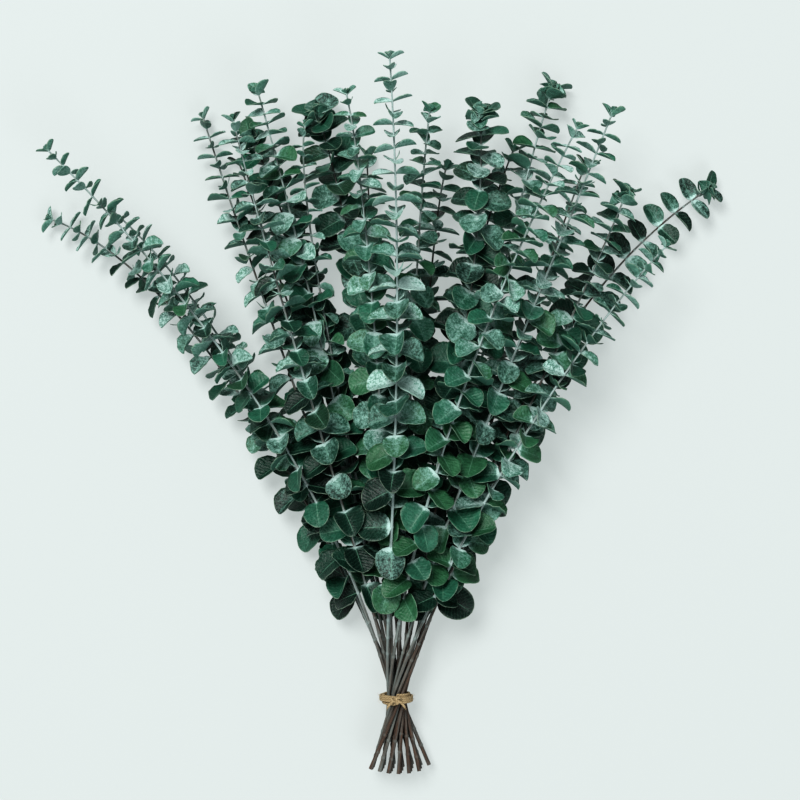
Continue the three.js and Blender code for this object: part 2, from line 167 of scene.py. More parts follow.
NECK = NeckForm()
STEMS = (
    StemPlan("left_high", 2, -4, (-62, 206, 92), (-246, 388, 64), 0.9, 15, 4, 8, Tone.MID, 0.5, 0.5),
    StemPlan("left_low", 0, -6, (-134, 302, 24), (-252, 344, 10), 0.95, -20, 14, 10, Tone.DEEP, 0.45, 0.4),
    StemPlan("left_middle", 1, -5, (-106, 263, 56), (-203, 347, 40), 0.92, 30, 5, 8, Tone.MID, 0.55, 0.5),
    StemPlan("outer_left", 0, -4, (-99, 283, 30), (-142, 417, 12), 0.92, 5, 8, 9, Tone.DEEP, 0.45, 0.55),
    StemPlan("tall_left_front", 2, -2, (-66, 214, 96), (-116, 408, 72), 1, -11, 6, 9, Tone.DEEP, 0.5, 0.4),
    StemPlan("tall_left", 1, -3, (-57, 281, 62), (-100, 430, 46), 1.1, 42, 22, 12, Tone.MID, 0.4, 0.9),
    StemPlan("left_back", 0, -2, (-74, 352, 34), (-108, 402, 18), 1, -30, 36, 15, Tone.DEEP, 0.3, 0.4),
    StemPlan("thin_twig", 1, -1, (-79, 350, 60), (-67, 408, 42), 0.75, 30, 5, 7, Tone.MID, 0.35, 0.6),
    StemPlan("dark_tip", 0, 0, (-27, 331, 36), (-60, 420, 22), 1.15, -15, 42, 18, Tone.DEEP, 0.2, 0.3),
    StemPlan("centre_left", 2, 0, (-17, 334, 94), (-37, 425, 84), 1.05, 10, 24, 8, Tone.MID, 0.4, 0.9),
    StemPlan("centre_front", 3, -1, (7, 226, 128), (-7, 446, 108), 1.02, 0, 8, 9, Tone.FROSTED, 0.9, 0.6),
    StemPlan("centre_right", 1, 1, (10, 338, 60), (21, 417, 50), 1.08, -40, 22, 10, Tone.MID, 0.35, 0.85),
    StemPlan("low_right", 0, 2, (16, 311, 36), (33, 380, 16), 0.95, -5, 24, 12, Tone.DEEP, 0.3, 0.4),
    StemPlan("dense_right", 1, 3, (64, 301, 58), (56, 415, 58), 1.1, 20, 34, 17, Tone.DEEP, 0.4, 0.3),
    StemPlan("tall_right_back", 0, 4, (82, 360, 34), (110, 438, 16), 0.98, -25, 14, 14, Tone.MID, 0.5, 0.6),
    StemPlan("tall_right_front", 3, 1, (31, 228, 122), (122, 401, 88), 1.02, 40, 12, 9, Tone.MID, 0.5, 0.95),
    StemPlan("tall_right", 2, 2, (99, 292, 92), (148, 413, 60), 1, 5, 12, 10, Tone.MID, 0.55, 0.75),
    StemPlan("right_middle", 1, 5, (128, 281, 66), (160, 360, 44), 0.95, -35, 22, 14, Tone.DEEP, 0.45, 0.5),
    StemPlan("far_right", 0, 6, (82, 275, 22), (223, 366, 14), 1.15, 5, 56, 13, Tone.DEEP, 0.2, 0.2, True),
    StemPlan("right_front", 2, 4, (103, 236, 90), (186, 321, 62), 0.95, -15, 4, 9, Tone.MID, 0.5, 0.65),
    StemPlan("under_left", -1, -3, (-76, 276, 12), (-116, 384, 8), 1, -22, 10, 10, Tone.DEEP, 0.2, 0.3),
    StemPlan("under_centre", -1, -1, (-20, 290, 12), (-24, 390, 8), 1, 30, 10, 10, Tone.DEEP, 0.2, 0.3),
    StemPlan("under_right", -1, 1, (34, 280, 12), (82, 394, 8), 1, -20, 10, 10, Tone.DEEP, 0.2, 0.3),
    StemPlan("under_far_right", -1, 3, (92, 270, 12), (134, 384, 8), 1, 10, 10, 10, Tone.DEEP, 0.2, 0.3),
)


# ---- the stems' paths ---------------------------------------------------------------------
@dataclass
class Frames:
    """Points on a line, with the directions along it, sideways and upwards there."""

    point: np.ndarray
    along: np.ndarray
    side: np.ndarray
    up: np.ndarray


class StemPath:
    """The line of one stem: straight through the neck, then along one curve to its tip."""

    divisions = 200

    def __init__(self, plan: StemPlan) -> None:
        """Lays the curve out.

        Args:
            plan: The stem's entry in the plan.
        """
        across = -plan.layer * NECK.layer_pitch
        rise = plan.row * NECK.pitch / 2
        self.neck = np.array((across, 0.0, NECK.height + rise))
        lean = np.array((rise / NECK.twist_length, 1.0, -across / NECK.twist_length))
        self.lean = unit(lean)
        drawn = self.neck + lean * NECK.straight_length
        self.controls = np.array((self.neck, drawn, plan.bend, plan.tip), float)
        self.shares = np.linspace(0, 1, self.divisions + 1)
        steps = np.diff(self._points(self.shares), axis=0)
        self.lengths = np.concatenate(([0], np.cumsum(np.linalg.norm(steps, axis=1))))
        self.length = float(self.lengths[-1])

    def _points(self, shares: np.ndarray) -> np.ndarray:
        """Points of the curve.

        Args:
            shares: Shares of the curve's parameter.

        Returns:
            One point for each share.
        """
        t = np.asarray(shares, float)[:, None]
        a, b, c, d = self.controls
        return (1 - t) ** 3 * a + 3 * (1 - t) ** 2 * t * b + 3 * (1 - t) * t**2 * c + t**3 * d

    def _tangents(self, shares: np.ndarray) -> np.ndarray:
        """Directions of the curve.

        Args:
            shares: Shares of the curve's parameter.

        Returns:
            One direction for each share.
        """
        t = np.asarray(shares, float)[:, None]
        a, b, c, d = self.controls
        slope = (1 - t) ** 2 * (b - a) + 2 * (1 - t) * t * (c - b) + t**2 * (d - c)
        return unit(slope)

    def frames(self, distances: np.ndarray) -> Frames:
        """Axis points and directions.

        Args:
            distances: Millimetres above the tie, and negative below it.

        Returns:
            One frame for each distance.
        """
        distances = np.asarray(distances, float)
        shares = np.interp(distances, self.lengths, self.shares)
        above = (distances > 0)[:, None]
        below = self.neck + distances[:, None] * self.lean
        point = np.where(above, self._points(shares), below)
        along = np.where(above, self._tangents(shares), self.lean)
        side = unit(np.cross(along, (0.0, 0.0, 1.0)))
        return Frames(point, along, side, np.cross(side, along))

    def radius(self, distances: np.ndarray) -> np.ndarray:
        """The stem's radius, which is smallest at the tip.

        Args:
            distances: Millimetres above the tie, and negative below it.

        Returns:
            One radius for each distance.
        """
        below = NECK.tie_radius + (NECK.cut_radius - NECK.tie_radius) * -distances / NECK.cut_length
        above = NECK.tie_radius + (NECK.tip_radius - NECK.tie_radius) * distances / self.length
        return np.where(distances < 0, below, above)


# ---- the leaves ---------------------------------------------------------------------------
@dataclass(frozen=True)
class LeafRule:
    """Where leaves sit on a stem, how they lie, how they grow and how their colour changes towards the tie,
    in millimetres and degrees.
    """

    top_drop: float = 1.5
    first_gap: float = 7.0
    last_gap: float = 16.0
    gap_reach: float = 400.0
    bare_length: float = 74.0
    solid_step: int = 3
    flat_step: int = 2
    full_length: float = 23.5
    growth_power: float = 0.42
    tip_width: float = 0.6
    long_tip_width: float = 0.86
    short_young: float = 9.0
    long_young: float = 16.0
    full_width: float = 0.94
    full_width_reach: float = 240.0
    young_reach: float = 14.0
    tilt: float = 5.0
    young_tilt: float = 34.0
    droop: float = 14.0
    droop_reach: float = 300.0
    facing_gain: float = 24.0
    tilt_spread: float = 30.0
    roll_spread: float = 46.0
    turn_spread: float = 16.0
    lean_spread: float = 26.0
    length_spread: float = 0.12
    width_spread: float = 0.07
    depth_in_wood: float = 0.55
    least_form: float = 0.25
    form_reach: float = 150.0
    sag: Range = (0.0, 0.24)
    cup: Range = (0.04, 0.34)
    wave: Range = (0.01, 0.045)
    twist: Range = (-0.4, 0.4)
    # Leaves more than old_start below the tip come out darker and with less wax, more so towards the tie.
    old_start: float = 200.0
    old_reach: float = 160.0
    young_wax: float = 0.4
    wax_loss_towards_tie: float = 0.85
    darkening_towards_tie: float = 0.35
    crowded_young: float = 12.5
    clearance: float = 0.3
    press: float = 3.0
    easings: tuple[Point, ...] = (
        (0, 0, 0), (0, 0, 25), (0, 0, -25), (16, 0, 0), (-16, 0, 0), (0, 22, 0), (0, -22, 0),
        (25, 15, 20), (25, -15, -20), (12, 40, 0), (12, -40, 0), (42, 0, 0), (42, 25, 25),
        (42, -25, -25), (58, 12, 0), (58, -12, 0), (66, 45, 0), (66, -45, 0),
    )

    def pairs(self, length: float) -> list[float]:
        """Where a stem's pairs sit.

        Args:
            length: The stem's length above the tie.

        Returns:
            Distances below the tip.
        """
        distances, from_tip = [], self.top_drop
        while from_tip < length - self.bare_length:
            distances.append(from_tip)
            from_tip += mix(self.first_gap, self.last_gap, clamp01(from_tip / self.gap_reach))
        return distances


@dataclass(frozen=True)
class TipRule:
    """The small leaves at a stem's tip, from the lowest pair up, in millimetres and degrees.

    reach is how far below the tip they start and tilt how far the lowest ones point up the stem.
    length is the lowest one's length as a share of a young leaf's. Only curled ones roll to a
    side and vary in width.
    """

    count: int
    reach: float
    tilt: float
    length: float
    width: Range
    sag: Range
    curled: bool
    last_reach: float = 0.2
    last_tilt: float = 74.0
    last_length: float = 0.45
    turn_spread: float = 20.0
    tilt_spread: float = 16.0
    roll_spread: float = 50.0
    length_spread: float = 0.15
    start: float = 0.05
    cup: Range = (0.15, 0.5)
    wave: Range = (0.0, 0.05)
    twist: Range = (-0.5, 0.5)


FOLDED_TIP = TipRule(3, 0.6, 34, 0.66, (0.55, 0.55), (0.05, 0.2), curled=False)
CROWDED_TIP = TipRule(8, 7.0, 6, 0.85, (0.75, 1.0), (0.05, 0.5), curled=True)


@dataclass(frozen=True)
class LeafPose:
    """One leaf's place, directions and size, and the draws that shape and colour it."""

    root: np.ndarray
    reach: np.ndarray
    across: np.ndarray
    normal: np.ndarray
    length: float
    width: float
    start: float
    sag: float
    cup: float
    wave: float
    phase: float
    twist: float
    draws: Point


class Blade:
    """The form of a leaf: a round, cupped blade with a crease along its midrib and a thin edge."""

    rows = np.array((0.0, 0.06, 0.14, 0.24, 0.35, 0.46, 0.57, 0.68, 0.78, 0.87, 0.94, 0.98))
    columns = np.array((-1.0, -0.82, -0.5, -0.2, 0.0, 0.2, 0.5, 0.82, 1.0))
    coarse_rows = np.array((0.1, 0.35, 0.66, 0.9))
    coarse_columns = np.array((-1.0, -0.4, 0.4, 1.0))
    thickness = 0.45
    widest_shift = 1.08
    outline_power = 2.15
    root_half_width = 0.07
    crease = 0.1
    shortening = 0.67
    calm_root = 0.1
    long_wave, long_skew = 8.0, 1.7
    short_wave, short_skew = 19.0, 2.3
    short_share = 0.7
    edge_share = 0.7

    @staticmethod
    def places(rows: np.ndarray, columns: np.ndarray) -> np.ndarray:
        """Grid places of a blade, row by row, and its end.

        Args:
            rows: Shares of the length.
            columns: Shares of the half width, from -1 to 1.

        Returns:
            One pair of shares for each point, with the leaf's end last.
        """
        t, s = np.meshgrid(rows, columns, indexing="ij")
        return np.vstack((np.stack((t.ravel(), s.ravel()), 1), ((1.0, 0.0),)))

    @staticmethod
    def side_faces(rows: int, columns: int) -> list[Face]:
        """Faces of one side of a blade, seen from its upper side.

        Args:
            rows: How many rows the grid has.
            columns: How many columns it has.

        Returns:
            The faces, by the numbers of their points.
        """
        made = []
        for row in range(rows - 1):
            for column in range(columns - 1):
                corner = row * columns + column
                made.append((corner, corner + columns, corner + columns + 1, corner + 1))
        last, end = (rows - 1) * columns, rows * columns
        made += [(last + column, end, last + column + 1) for column in range(columns - 1)]
        return made

    @staticmethod
    def border(rows: int, columns: int) -> list[int]:
        """Points along the blade's border, from one side of its root to the other.

        Args:
            rows: How many rows the grid has.
            columns: How many columns it has.

        Returns:
            The points' numbers in order.
        """
        left = [row * columns for row in range(rows)]
        right = [row * columns + columns - 1 for row in range(rows)]
        return [*left, rows * columns, *reversed(right)]

    @classmethod
    def faces(cls, rows: int, columns: int) -> list[Face]:
        """Faces of a whole blade: its upper side, its lower side and the edge between them.

        Args:
            rows: How many rows the grid has.
            columns: How many columns it has.

        Returns:
            The faces of a closed form whose lower points follow its upper ones.
        """
        count = rows * columns + 1
        upper = cls.side_faces(rows, columns)
        lower = [tuple(count + i for i in reversed(face)) for face in upper]
        border = cls.border(rows, columns)
        edge = [(a, a + count, b + count, b) for a, b in zip(border, border[1:] + border[:1])]
        return upper + lower + edge

    @classmethod
    def half_width(cls, t: np.ndarray) -> np.ndarray:
        """Half of the blade's width at shares of its length, as a share of its full width."""
        centred = 2 * t**cls.widest_shift - 1
        return 0.5 * np.sqrt(np.clip(1 - np.abs(centred) ** cls.outline_power, 0, 1))

    def middle(self, pose: LeafPose, places: np.ndarray) -> np.ndarray:
        """Points of the blade's middle surface.

        Args:
            pose: The leaf.
            places: Shares of the length and of the half width.

        Returns:
            Points in millimetres.
        """
        s = places[:, 1]
        t = pose.start + (1 - pose.start) * places[:, 0]
        half = np.where((places[:, 0] == 0), s * self.root_half_width, self.half_width(t) * s)
        side = np.sign(s)
        ripple = np.sin(pose.phase + self.long_wave * t + self.long_skew * side)
        finer = np.sin(2 * pose.phase + self.short_wave * t - self.short_skew * side)
        ripple += self.short_share * finer
        rise = pose.cup * (2 * half) ** 2 + self.crease * np.abs(half) * 2
        rise = rise - pose.sag * t**2 + pose.wave * ripple * s**2 * (t > self.calm_root)
        turned = pose.twist * t
        sideways = half * pose.width * (1 + self.edge_share * pose.wave * ripple)
        forward = t * (1 - self.shortening * (pose.sag * t) ** 2)
        points = pose.root + np.outer(forward * pose.length, pose.reach)
        points += np.outer(sideways * np.cos(turned), pose.across)
        points += np.outer(rise * pose.length + sideways * np.sin(turned), pose.normal)
        return points

    def skin(self, pose: LeafPose, places: np.ndarray, extra: float) -> np.ndarray:
        """Points of the upper and then the lower side of a blade.

        Args:
            pose: The leaf.
            places: Shares of the length and of the half width.
            extra: Millimetres that the blade is thicker than it is.

        Returns:
            Points in millimetres, with none below the table.
        """
        middle = self.middle(pose, places)
        half = (self.thickness + extra) / 2
        middle[:, 2] = lie_on_table(middle[:, 2], self.thickness / 2)
        points = np.vstack((middle + pose.normal * half, middle - pose.normal * half))
        points[:, 2] = np.maximum(points[:, 2], 0.0)
        return points


def lie_on_table(heights: np.ndarray, least: float, bend: float = 3.0) -> np.ndarray:
    """Heights of a surface that bends gently where it would sink into the table.

    Args:
        heights: Heights in millimetres.
        least: The lowest height that is left.
        bend: The height over which the surface starts to bend.

    Returns:
        Heights that are never under the least.
    """
    depth = (heights - least) / bend
    return least + bend * np.where(depth > 1, depth, np.exp(np.minimum(depth, 1) - 1))


WOOD, BUD = -1, -2


class LeafPlacer:
    """Places leaves on all stems, bent clear of each other and of the wood."""

    wood_sides = 6
    wood_gap = 8.0
    wood_clearance = 0.15
    wood_sections = 6

    def __init__(self, paths: list[StemPath], rule: LeafRule) -> None:
        """Makes the wood that leaves have to miss.

        Args:
            paths: The stems' lines, in the plan's order.
            rule: How leaves sit and lie.
        """
        self.paths, self.rule, self.blade = paths, rule, Blade()
        self.lows: list[np.ndarray] = []
        self.highs: list[np.ndarray] = []
        self.owners: list[tuple[int, int]] = []
        self.trees: list[BVHTree] = []
        rows, columns = self.blade.coarse_rows, self.blade.coarse_columns
        self.test_places = self.blade.places(rows, columns)
        self.test_faces = self.blade.faces(len(rows), len(columns))
        for stem, path in enumerate(paths):
            self._add_wood(stem, path)
        self._gather_boxes()

    def _add_wood(self, stem: int, path: StemPath) -> None:
        """Adds a stem's bare wood to what leaves have to miss, in short lengths.

        Args:
            stem: The stem's place in the plan.
            path: Its line.
        """
        sides, sections = self.wood_sides, self.wood_sections
        distances = np.arange(-NECK.cut_length, path.length, self.wood_gap)
        distances = np.append(distances, path.length)
        radius = path.radius(distances) + self.wood_clearance
        points = tube_points(path.frames(distances), radius, sides)
        faces = tube_faces(len(distances), sides)
        for start in range(0, len(distances) - 1, sections):
            rings = points[start * sides:(start + sections + 1) * sides]
            count = len(rings) // sides
            tree = BVHTree.FromPolygons(rings.tolist(), faces[:(count - 1) * sides])
            self._keep(rings, tree, (stem, WOOD))

    def _keep(self, points: np.ndarray, tree: BVHTree, owner: tuple[int, int]) -> None:
        """Keeps something that later leaves have to miss.

        Args:
            points: Its points.
            tree: Its faces, ready for tests.
            owner: Its stem, and its pair, WOOD or BUD.
        """
        self.lows.append(points.min(0))
        self.highs.append(points.max(0))
        self.owners.append(owner)
        self.trees.append(tree)

    def _gather_boxes(self) -> None:
        """Gathers the boxes of all that is kept, for the next leaf's tests."""
        self.all_lows, self.all_highs = np.array(self.lows), np.array(self.highs)

    def pair_pose(self, stem: int, pair: int) -> tuple[float, float]:
        """How a pair stands on its stem.

        Args:
            stem: The stem's place in the plan.
            pair: The pair's number, from the tip down.

        Returns:
            Its turn round the stem and its lean to one side, in degrees.
        """
        draw = seeded_draws(stem * 1009 + pair)
        turn = STEMS[stem].turn + (next(draw) - 0.5) * self.rule.turn_spread
        return turn, (next(draw) - 0.5) * self.rule.lean_spread

    def pose(self, stem: int, pair: int, twin: int, from_tip: float, easing: Point) -> LeafPose:
        """The pose and size of one leaf.

        Args:
            stem: The stem's place in the plan.
            pair: The pair's number, from the tip down.
            twin: 0 or 1, for the two leaves of a pair.
            from_tip: Millimetres below the tip.
            easing: Degrees of tilt, turn and roll that are added.

        Returns:
            The leaf's pose.
        """
        rule, path, plan = self.rule, self.paths[stem], STEMS[stem]
        draw = seeded_draws(stem * 1009 + pair * 17 + twin * 7 + 3)
        young = 1 - clamp01(from_tip / rule.young_reach)
        grown = clamp01((from_tip - rule.young_reach) / rule.droop_reach)
        form = mix(rule.least_form, 1.0, clamp01(from_tip / rule.form_reach))
        # Leaves far below the tip come out darker and with less wax.
        old = clamp01((from_tip - rule.old_start) / rule.old_reach)
        slender = plan.young < rule.crowded_young
        whiter = rule.young_wax * (1 - form) * slender - rule.wax_loss_towards_tie * old
        turn, lean = self.pair_pose(stem, pair)
        turn = math.radians(turn + pair * 90 + twin * 180 + easing[1])
        facing = plan.facing + grown * rule.facing_gain
        tilt = rule.tilt + young * rule.young_tilt - grown * rule.droop
        tilt += (next(draw) - 0.5) * rule.tilt_spread + (lean, -lean)[twin] + easing[0]
        tilt = math.radians(tilt - facing * math.sin(turn))
        roll = (next(draw) - 0.5) * rule.roll_spread + facing * math.cos(turn) + easing[2]
        full = rule.full_length * plan.leaf
        length = mix(plan.young, full, (from_tip / rule.gap_reach) ** rule.growth_power)
        length *= mix(1 - rule.length_spread, 1 + rule.length_spread, next(draw))
        longer = clamp01((plan.young - rule.short_young) / (rule.long_young - rule.short_young))
        tip_width = mix(rule.tip_width, rule.long_tip_width, longer)
        roundness = mix(tip_width, rule.full_width, clamp01(from_tip / rule.full_width_reach))
        width = length * roundness * mix(1 - rule.width_spread, 1 + rule.width_spread, next(draw))
        place = np.array((path.length - from_tip,))
        point, reach, across = self._directions(path, place, turn, tilt, math.radians(roll))
        return LeafPose(
            root=point, reach=reach, across=across, normal=np.cross(reach, across),
            length=length, width=width,
            start=rule.depth_in_wood * float(path.radius(place)[0]) / length,
            sag=mix(*rule.sag, next(draw)) * form, cup=mix(*rule.cup, next(draw) ** 2) * form,
            wave=mix(*rule.wave, next(draw)) * form, phase=mix(0.0, math.tau, next(draw)),
            twist=mix(*rule.twist, next(draw)),
            draws=(next(draw) - rule.darkening_towards_tie * old, next(draw), next(draw) + whiter),
        )

    @staticmethod
    def _directions(
        path: StemPath, place: np.ndarray, turn: float, tilt: float, roll: float,
    ) -> tuple[np.ndarray, np.ndarray, np.ndarray]:
        """Where a leaf starts and which way it points.

        Args:
            path: The stem's line.
            place: Its distance above the tie, as an array of one.
            turn: Radians round the stem.
            tilt: Radians that it points up the stem.
            roll: Radians round its own length.

        Returns:
            Its root, the way it reaches and the way across it.
        """
        here = path.frames(place)
        along, side, up = here.along[0], here.side[0], here.up[0]
        out = side * math.cos(turn) + up * math.sin(turn)
        flat = np.cross(along, out)
        reach = out * math.cos(tilt) + along * math.sin(tilt)
        across = flat * math.cos(roll) + np.cross(reach, flat) * math.sin(roll)
        return here.point[0], reach, across

    def tip_rule(self, stem: int) -> TipRule:
        """How the small leaves at a stem's tip stand."""
        return CROWDED_TIP if STEMS[stem].young > self.rule.crowded_young else FOLDED_TIP

    def bud_pose(self, stem: int, number: int, twin: int) -> LeafPose:
        """The pose of one small leaf at a stem's tip.

        Args:
            stem: The stem's place in the plan.
            number: The small pair's number, from the lowest up.
            twin: 0 or 1, for the two leaves of a pair.

        Returns:
            The small leaf's pose.
        """
        path, plan, rule = self.paths[stem], STEMS[stem], self.tip_rule(stem)
        draw = seeded_draws(stem * 733 + number * 29 + twin * 11 + 5)
        share = number / (rule.count - 1)
        place = np.array((path.length - mix(rule.reach, rule.last_reach, share),))
        turn = plan.turn + 90 * (number + 1) + 180 * twin
        turn += mix(-rule.turn_spread, rule.turn_spread, next(draw))
        tilt = mix(rule.tilt, rule.last_tilt, share)
        tilt += mix(-rule.tilt_spread, rule.tilt_spread, next(draw))
        roll = mix(-rule.roll_spread, rule.roll_spread, next(draw)) if rule.curled else 0.0
        length = plan.young * mix(rule.length, rule.last_length, share)
        length *= mix(1 - rule.length_spread, 1 + rule.length_spread, next(draw))
        point, reach, across = self._directions(path, place, *map(math.radians, (turn, tilt, roll)))
        roundness = mix(*rule.width, next(draw)) if rule.curled else rule.width[0]
        return LeafPose(
            root=point, reach=reach, across=across, normal=np.cross(reach, across),
            length=length, width=length * roundness, start=rule.start,
            sag=mix(*rule.sag, next(draw)), cup=mix(*rule.cup, next(draw)),
            wave=mix(*rule.wave, next(draw)), phase=mix(0.0, math.tau, next(draw)),
            twist=mix(*rule.twist, next(draw)), draws=(next(draw), next(draw), next(draw)),
        )

    def _clear(self, points: np.ndarray, stem: int, pair: int) -> BVHTree | None:
        """Tests a leaf against all that is kept, apart from its own wood and its twin.

        Args:
            points: The leaf's points.
            stem: The stem's place in the plan.
            pair: The pair's number, or BUD, which may touch all of its own stem.

        Returns:
            The leaf's faces, ready for tests, or nothing if it touches something.
        """
        low, high = points.min(0), points.max(0)
        tree = BVHTree.FromPolygons(points.tolist(), self.test_faces)
        near = np.all((self.all_lows < high) & (self.all_highs > low), axis=1)
        for index in np.flatnonzero(near):
            owner = self.owners[index]
            if owner[0] == stem and (pair == BUD or owner[1] in (WOOD, pair)):
                continue
            if self.trees[index].overlap(tree):
                return None
        return tree

    def place(self, stem: int, pair: int, twin: int, from_tip: float) -> LeafPose | None:
        """One leaf, eased until it lies clear, or nothing.

        Args:
            stem: The stem's place in the plan.
            pair: The pair's number, from the tip down.
            twin: 0 or 1, for the two leaves of a pair.
            from_tip: Millimetres below the tip.

        Returns:
            The pose that is clear of all the rest.
        """
        self._gather_boxes()
        for easing in self.rule.easings:
            pose = self.pose(stem, pair, twin, from_tip, easing)
            lowest = self.blade.middle(pose, self.test_places)[:, 2].min()
            if lowest < -self.rule.press:
                continue
            points = self.blade.skin(pose, self.test_places, self.rule.clearance)
            tree = self._clear(points, stem, pair)
            if tree:
                self._keep(points, tree, (stem, pair))
                return pose
        return None

    def place_bud(self, stem: int, number: int, twin: int) -> LeafPose | None:
        """One small leaf at a tip, or nothing where another stem is in its way.

        Args:
            stem: The stem's place in the plan.
            number: The small pair's number, from the lowest up.
            twin: 0 or 1, for the two leaves of a pair.

        Returns:
            The pose, if it is clear of the other stems.
        """
        self._gather_boxes()
        pose = self.bud_pose(stem, number, twin)
        points = self.blade.skin(pose, self.test_places, self.rule.clearance)
        tree = self._clear(points, stem, BUD)
        if tree:
            self._keep(points, tree, (stem, BUD))
        return pose if tree else None

    def place_all(self) -> list[list[LeafPose]]:
        """Places all leaves: first those that the solids have, then the rest, then the tips'.

        Returns:
            Each stem's leaves.
        """
        placed: list[list[LeafPose]] = [[] for _ in self.paths]
        pairs = [self.rule.pairs(path.length) for path in self.paths]
        most, step = max(map(len, pairs)), self.rule.solid_step
        for pair in sorted(range(most), key=lambda number: (number % step != 0, number)):
            for stem, distances in enumerate(pairs):
                if pair >= len(distances) or (STEMS[stem].flat and pair % self.rule.flat_step):
                    continue
                both = [self.place(stem, pair, twin, distances[pair]) for twin in (0, 1)]
                placed[stem] += [leaf for leaf in both if leaf]
        for stem in range(len(self.paths)):
            for number in range(self.tip_rule(stem).count):
                both = [self.place_bud(stem, number, twin) for twin in (0, 1)]
                placed[stem] += [bud for bud in both if bud]
        return placed


# ---- meshes -------------------------------------------------------------------------------
def tube_points(frames: Frames, radius: np.ndarray, sides: int) -> np.ndarray:
    """Rings of points round a line.

    Args:
        frames: The line's points and directions.
        radius: One radius for each ring, or one for each point of each ring.
        sides: Points on a ring.

    Returns:
        Points, ring by ring.
    """
    angles, rings = np.arange(sides) * math.tau / sides, len(frames.point)
    radius = np.broadcast_to(np.reshape(radius, (rings, -1)), (rings, sides))
    ring = (
        np.cos(angles)[None, :, None] * frames.side[:, None, :]
        + np.sin(angles)[None, :, None] * frames.up[:, None, :]
    )
    return (frames.point[:, None, :] + ring * radius[:, :, None]).reshape(-1, 3)


def tube_faces(rings: int, sides: int) -> list[Face]:
    """Faces between rings of points, looking outwards.

    Args:
        rings: How many rings there are.
        sides: Points on a ring.

    Returns:
        The faces, ring by ring.
    """
    made = []
    for ring in range(rings - 1):
        for side in range(sides):
            after = (side + 1) % sides
            low, high = ring * sides, (ring + 1) * sides
            made.append((low + side, high + side, high + after, low + after))
    return made


@dataclass
class Skin:
    """A mesh in the making: points, faces, each face's material and each point's facts."""

    points: list[np.ndarray] = field(default_factory=list)
    faces: list[Face] = field(default_factory=list)
    finishes: list[int] = field(default_factory=list)
    facts: dict[str, list[np.ndarray]] = field(default_factory=dict)
    count: int = 0

    def add(self, points: np.ndarray, faces: list[Face], finish: int, **facts: np.ndarray) -> None:
        """Adds a closed form, or a part that closes one.

        Args:
            points: Its points in millimetres.
            faces: Its faces, by the form's own points.
            finish: The number of its material.
            facts: Named vectors, one for each point or one for all.
        """
        self.points.append(points)
        self.faces += [tuple(self.count + i for i in face) for face in faces]
        self.finishes += [finish] * len(faces)
        for name, values in facts.items():
            rows = self.facts.setdefault(name, [])
            rows.append(np.broadcast_to(values, (len(points), 3)))
        self.count += len(points)

    def piece(
        self, name: str, offset: np.ndarray, materials: list[bpy.types.Material],
    ) -> bpy.types.Object:
        """Makes the object.

        Args:
            name: The piece's name.
            offset: Its shift in millimetres.
            materials: Its materials, in the order of their numbers.

        Returns:
            The object, linked to the scene.
        """
        points = (np.vstack(self.points) + offset) * MM
        points[:, 2] = np.maximum(points[:, 2], 0.0)
        mesh = bpy.data.meshes.new(name)
        mesh.from_pydata(points.tolist(), [], self.faces)
        mesh.polygons.foreach_set("material_index", self.finishes)
        mesh.shade_smooth()
        for fact, rows in self.facts.items():
            layer = mesh.attributes.new(fact, "FLOAT_VECTOR", "POINT")
            layer.data.foreach_set("vector", np.vstack(rows).astype(np.float32).ravel())
        for material in materials:
            mesh.materials.append(material)
        mesh.validate()
        piece = bpy.data.objects.new(name, mesh)
        bpy.context.scene.collection.objects.link(piece)
        return piece


# ---- shader tools -------------------------------------------------------------------------
Socket = bpy.types.NodeSocket
Source = bpy.types.NodeSocket | float | Colour
Sockets = dict[str, bpy.types.NodeSocket]


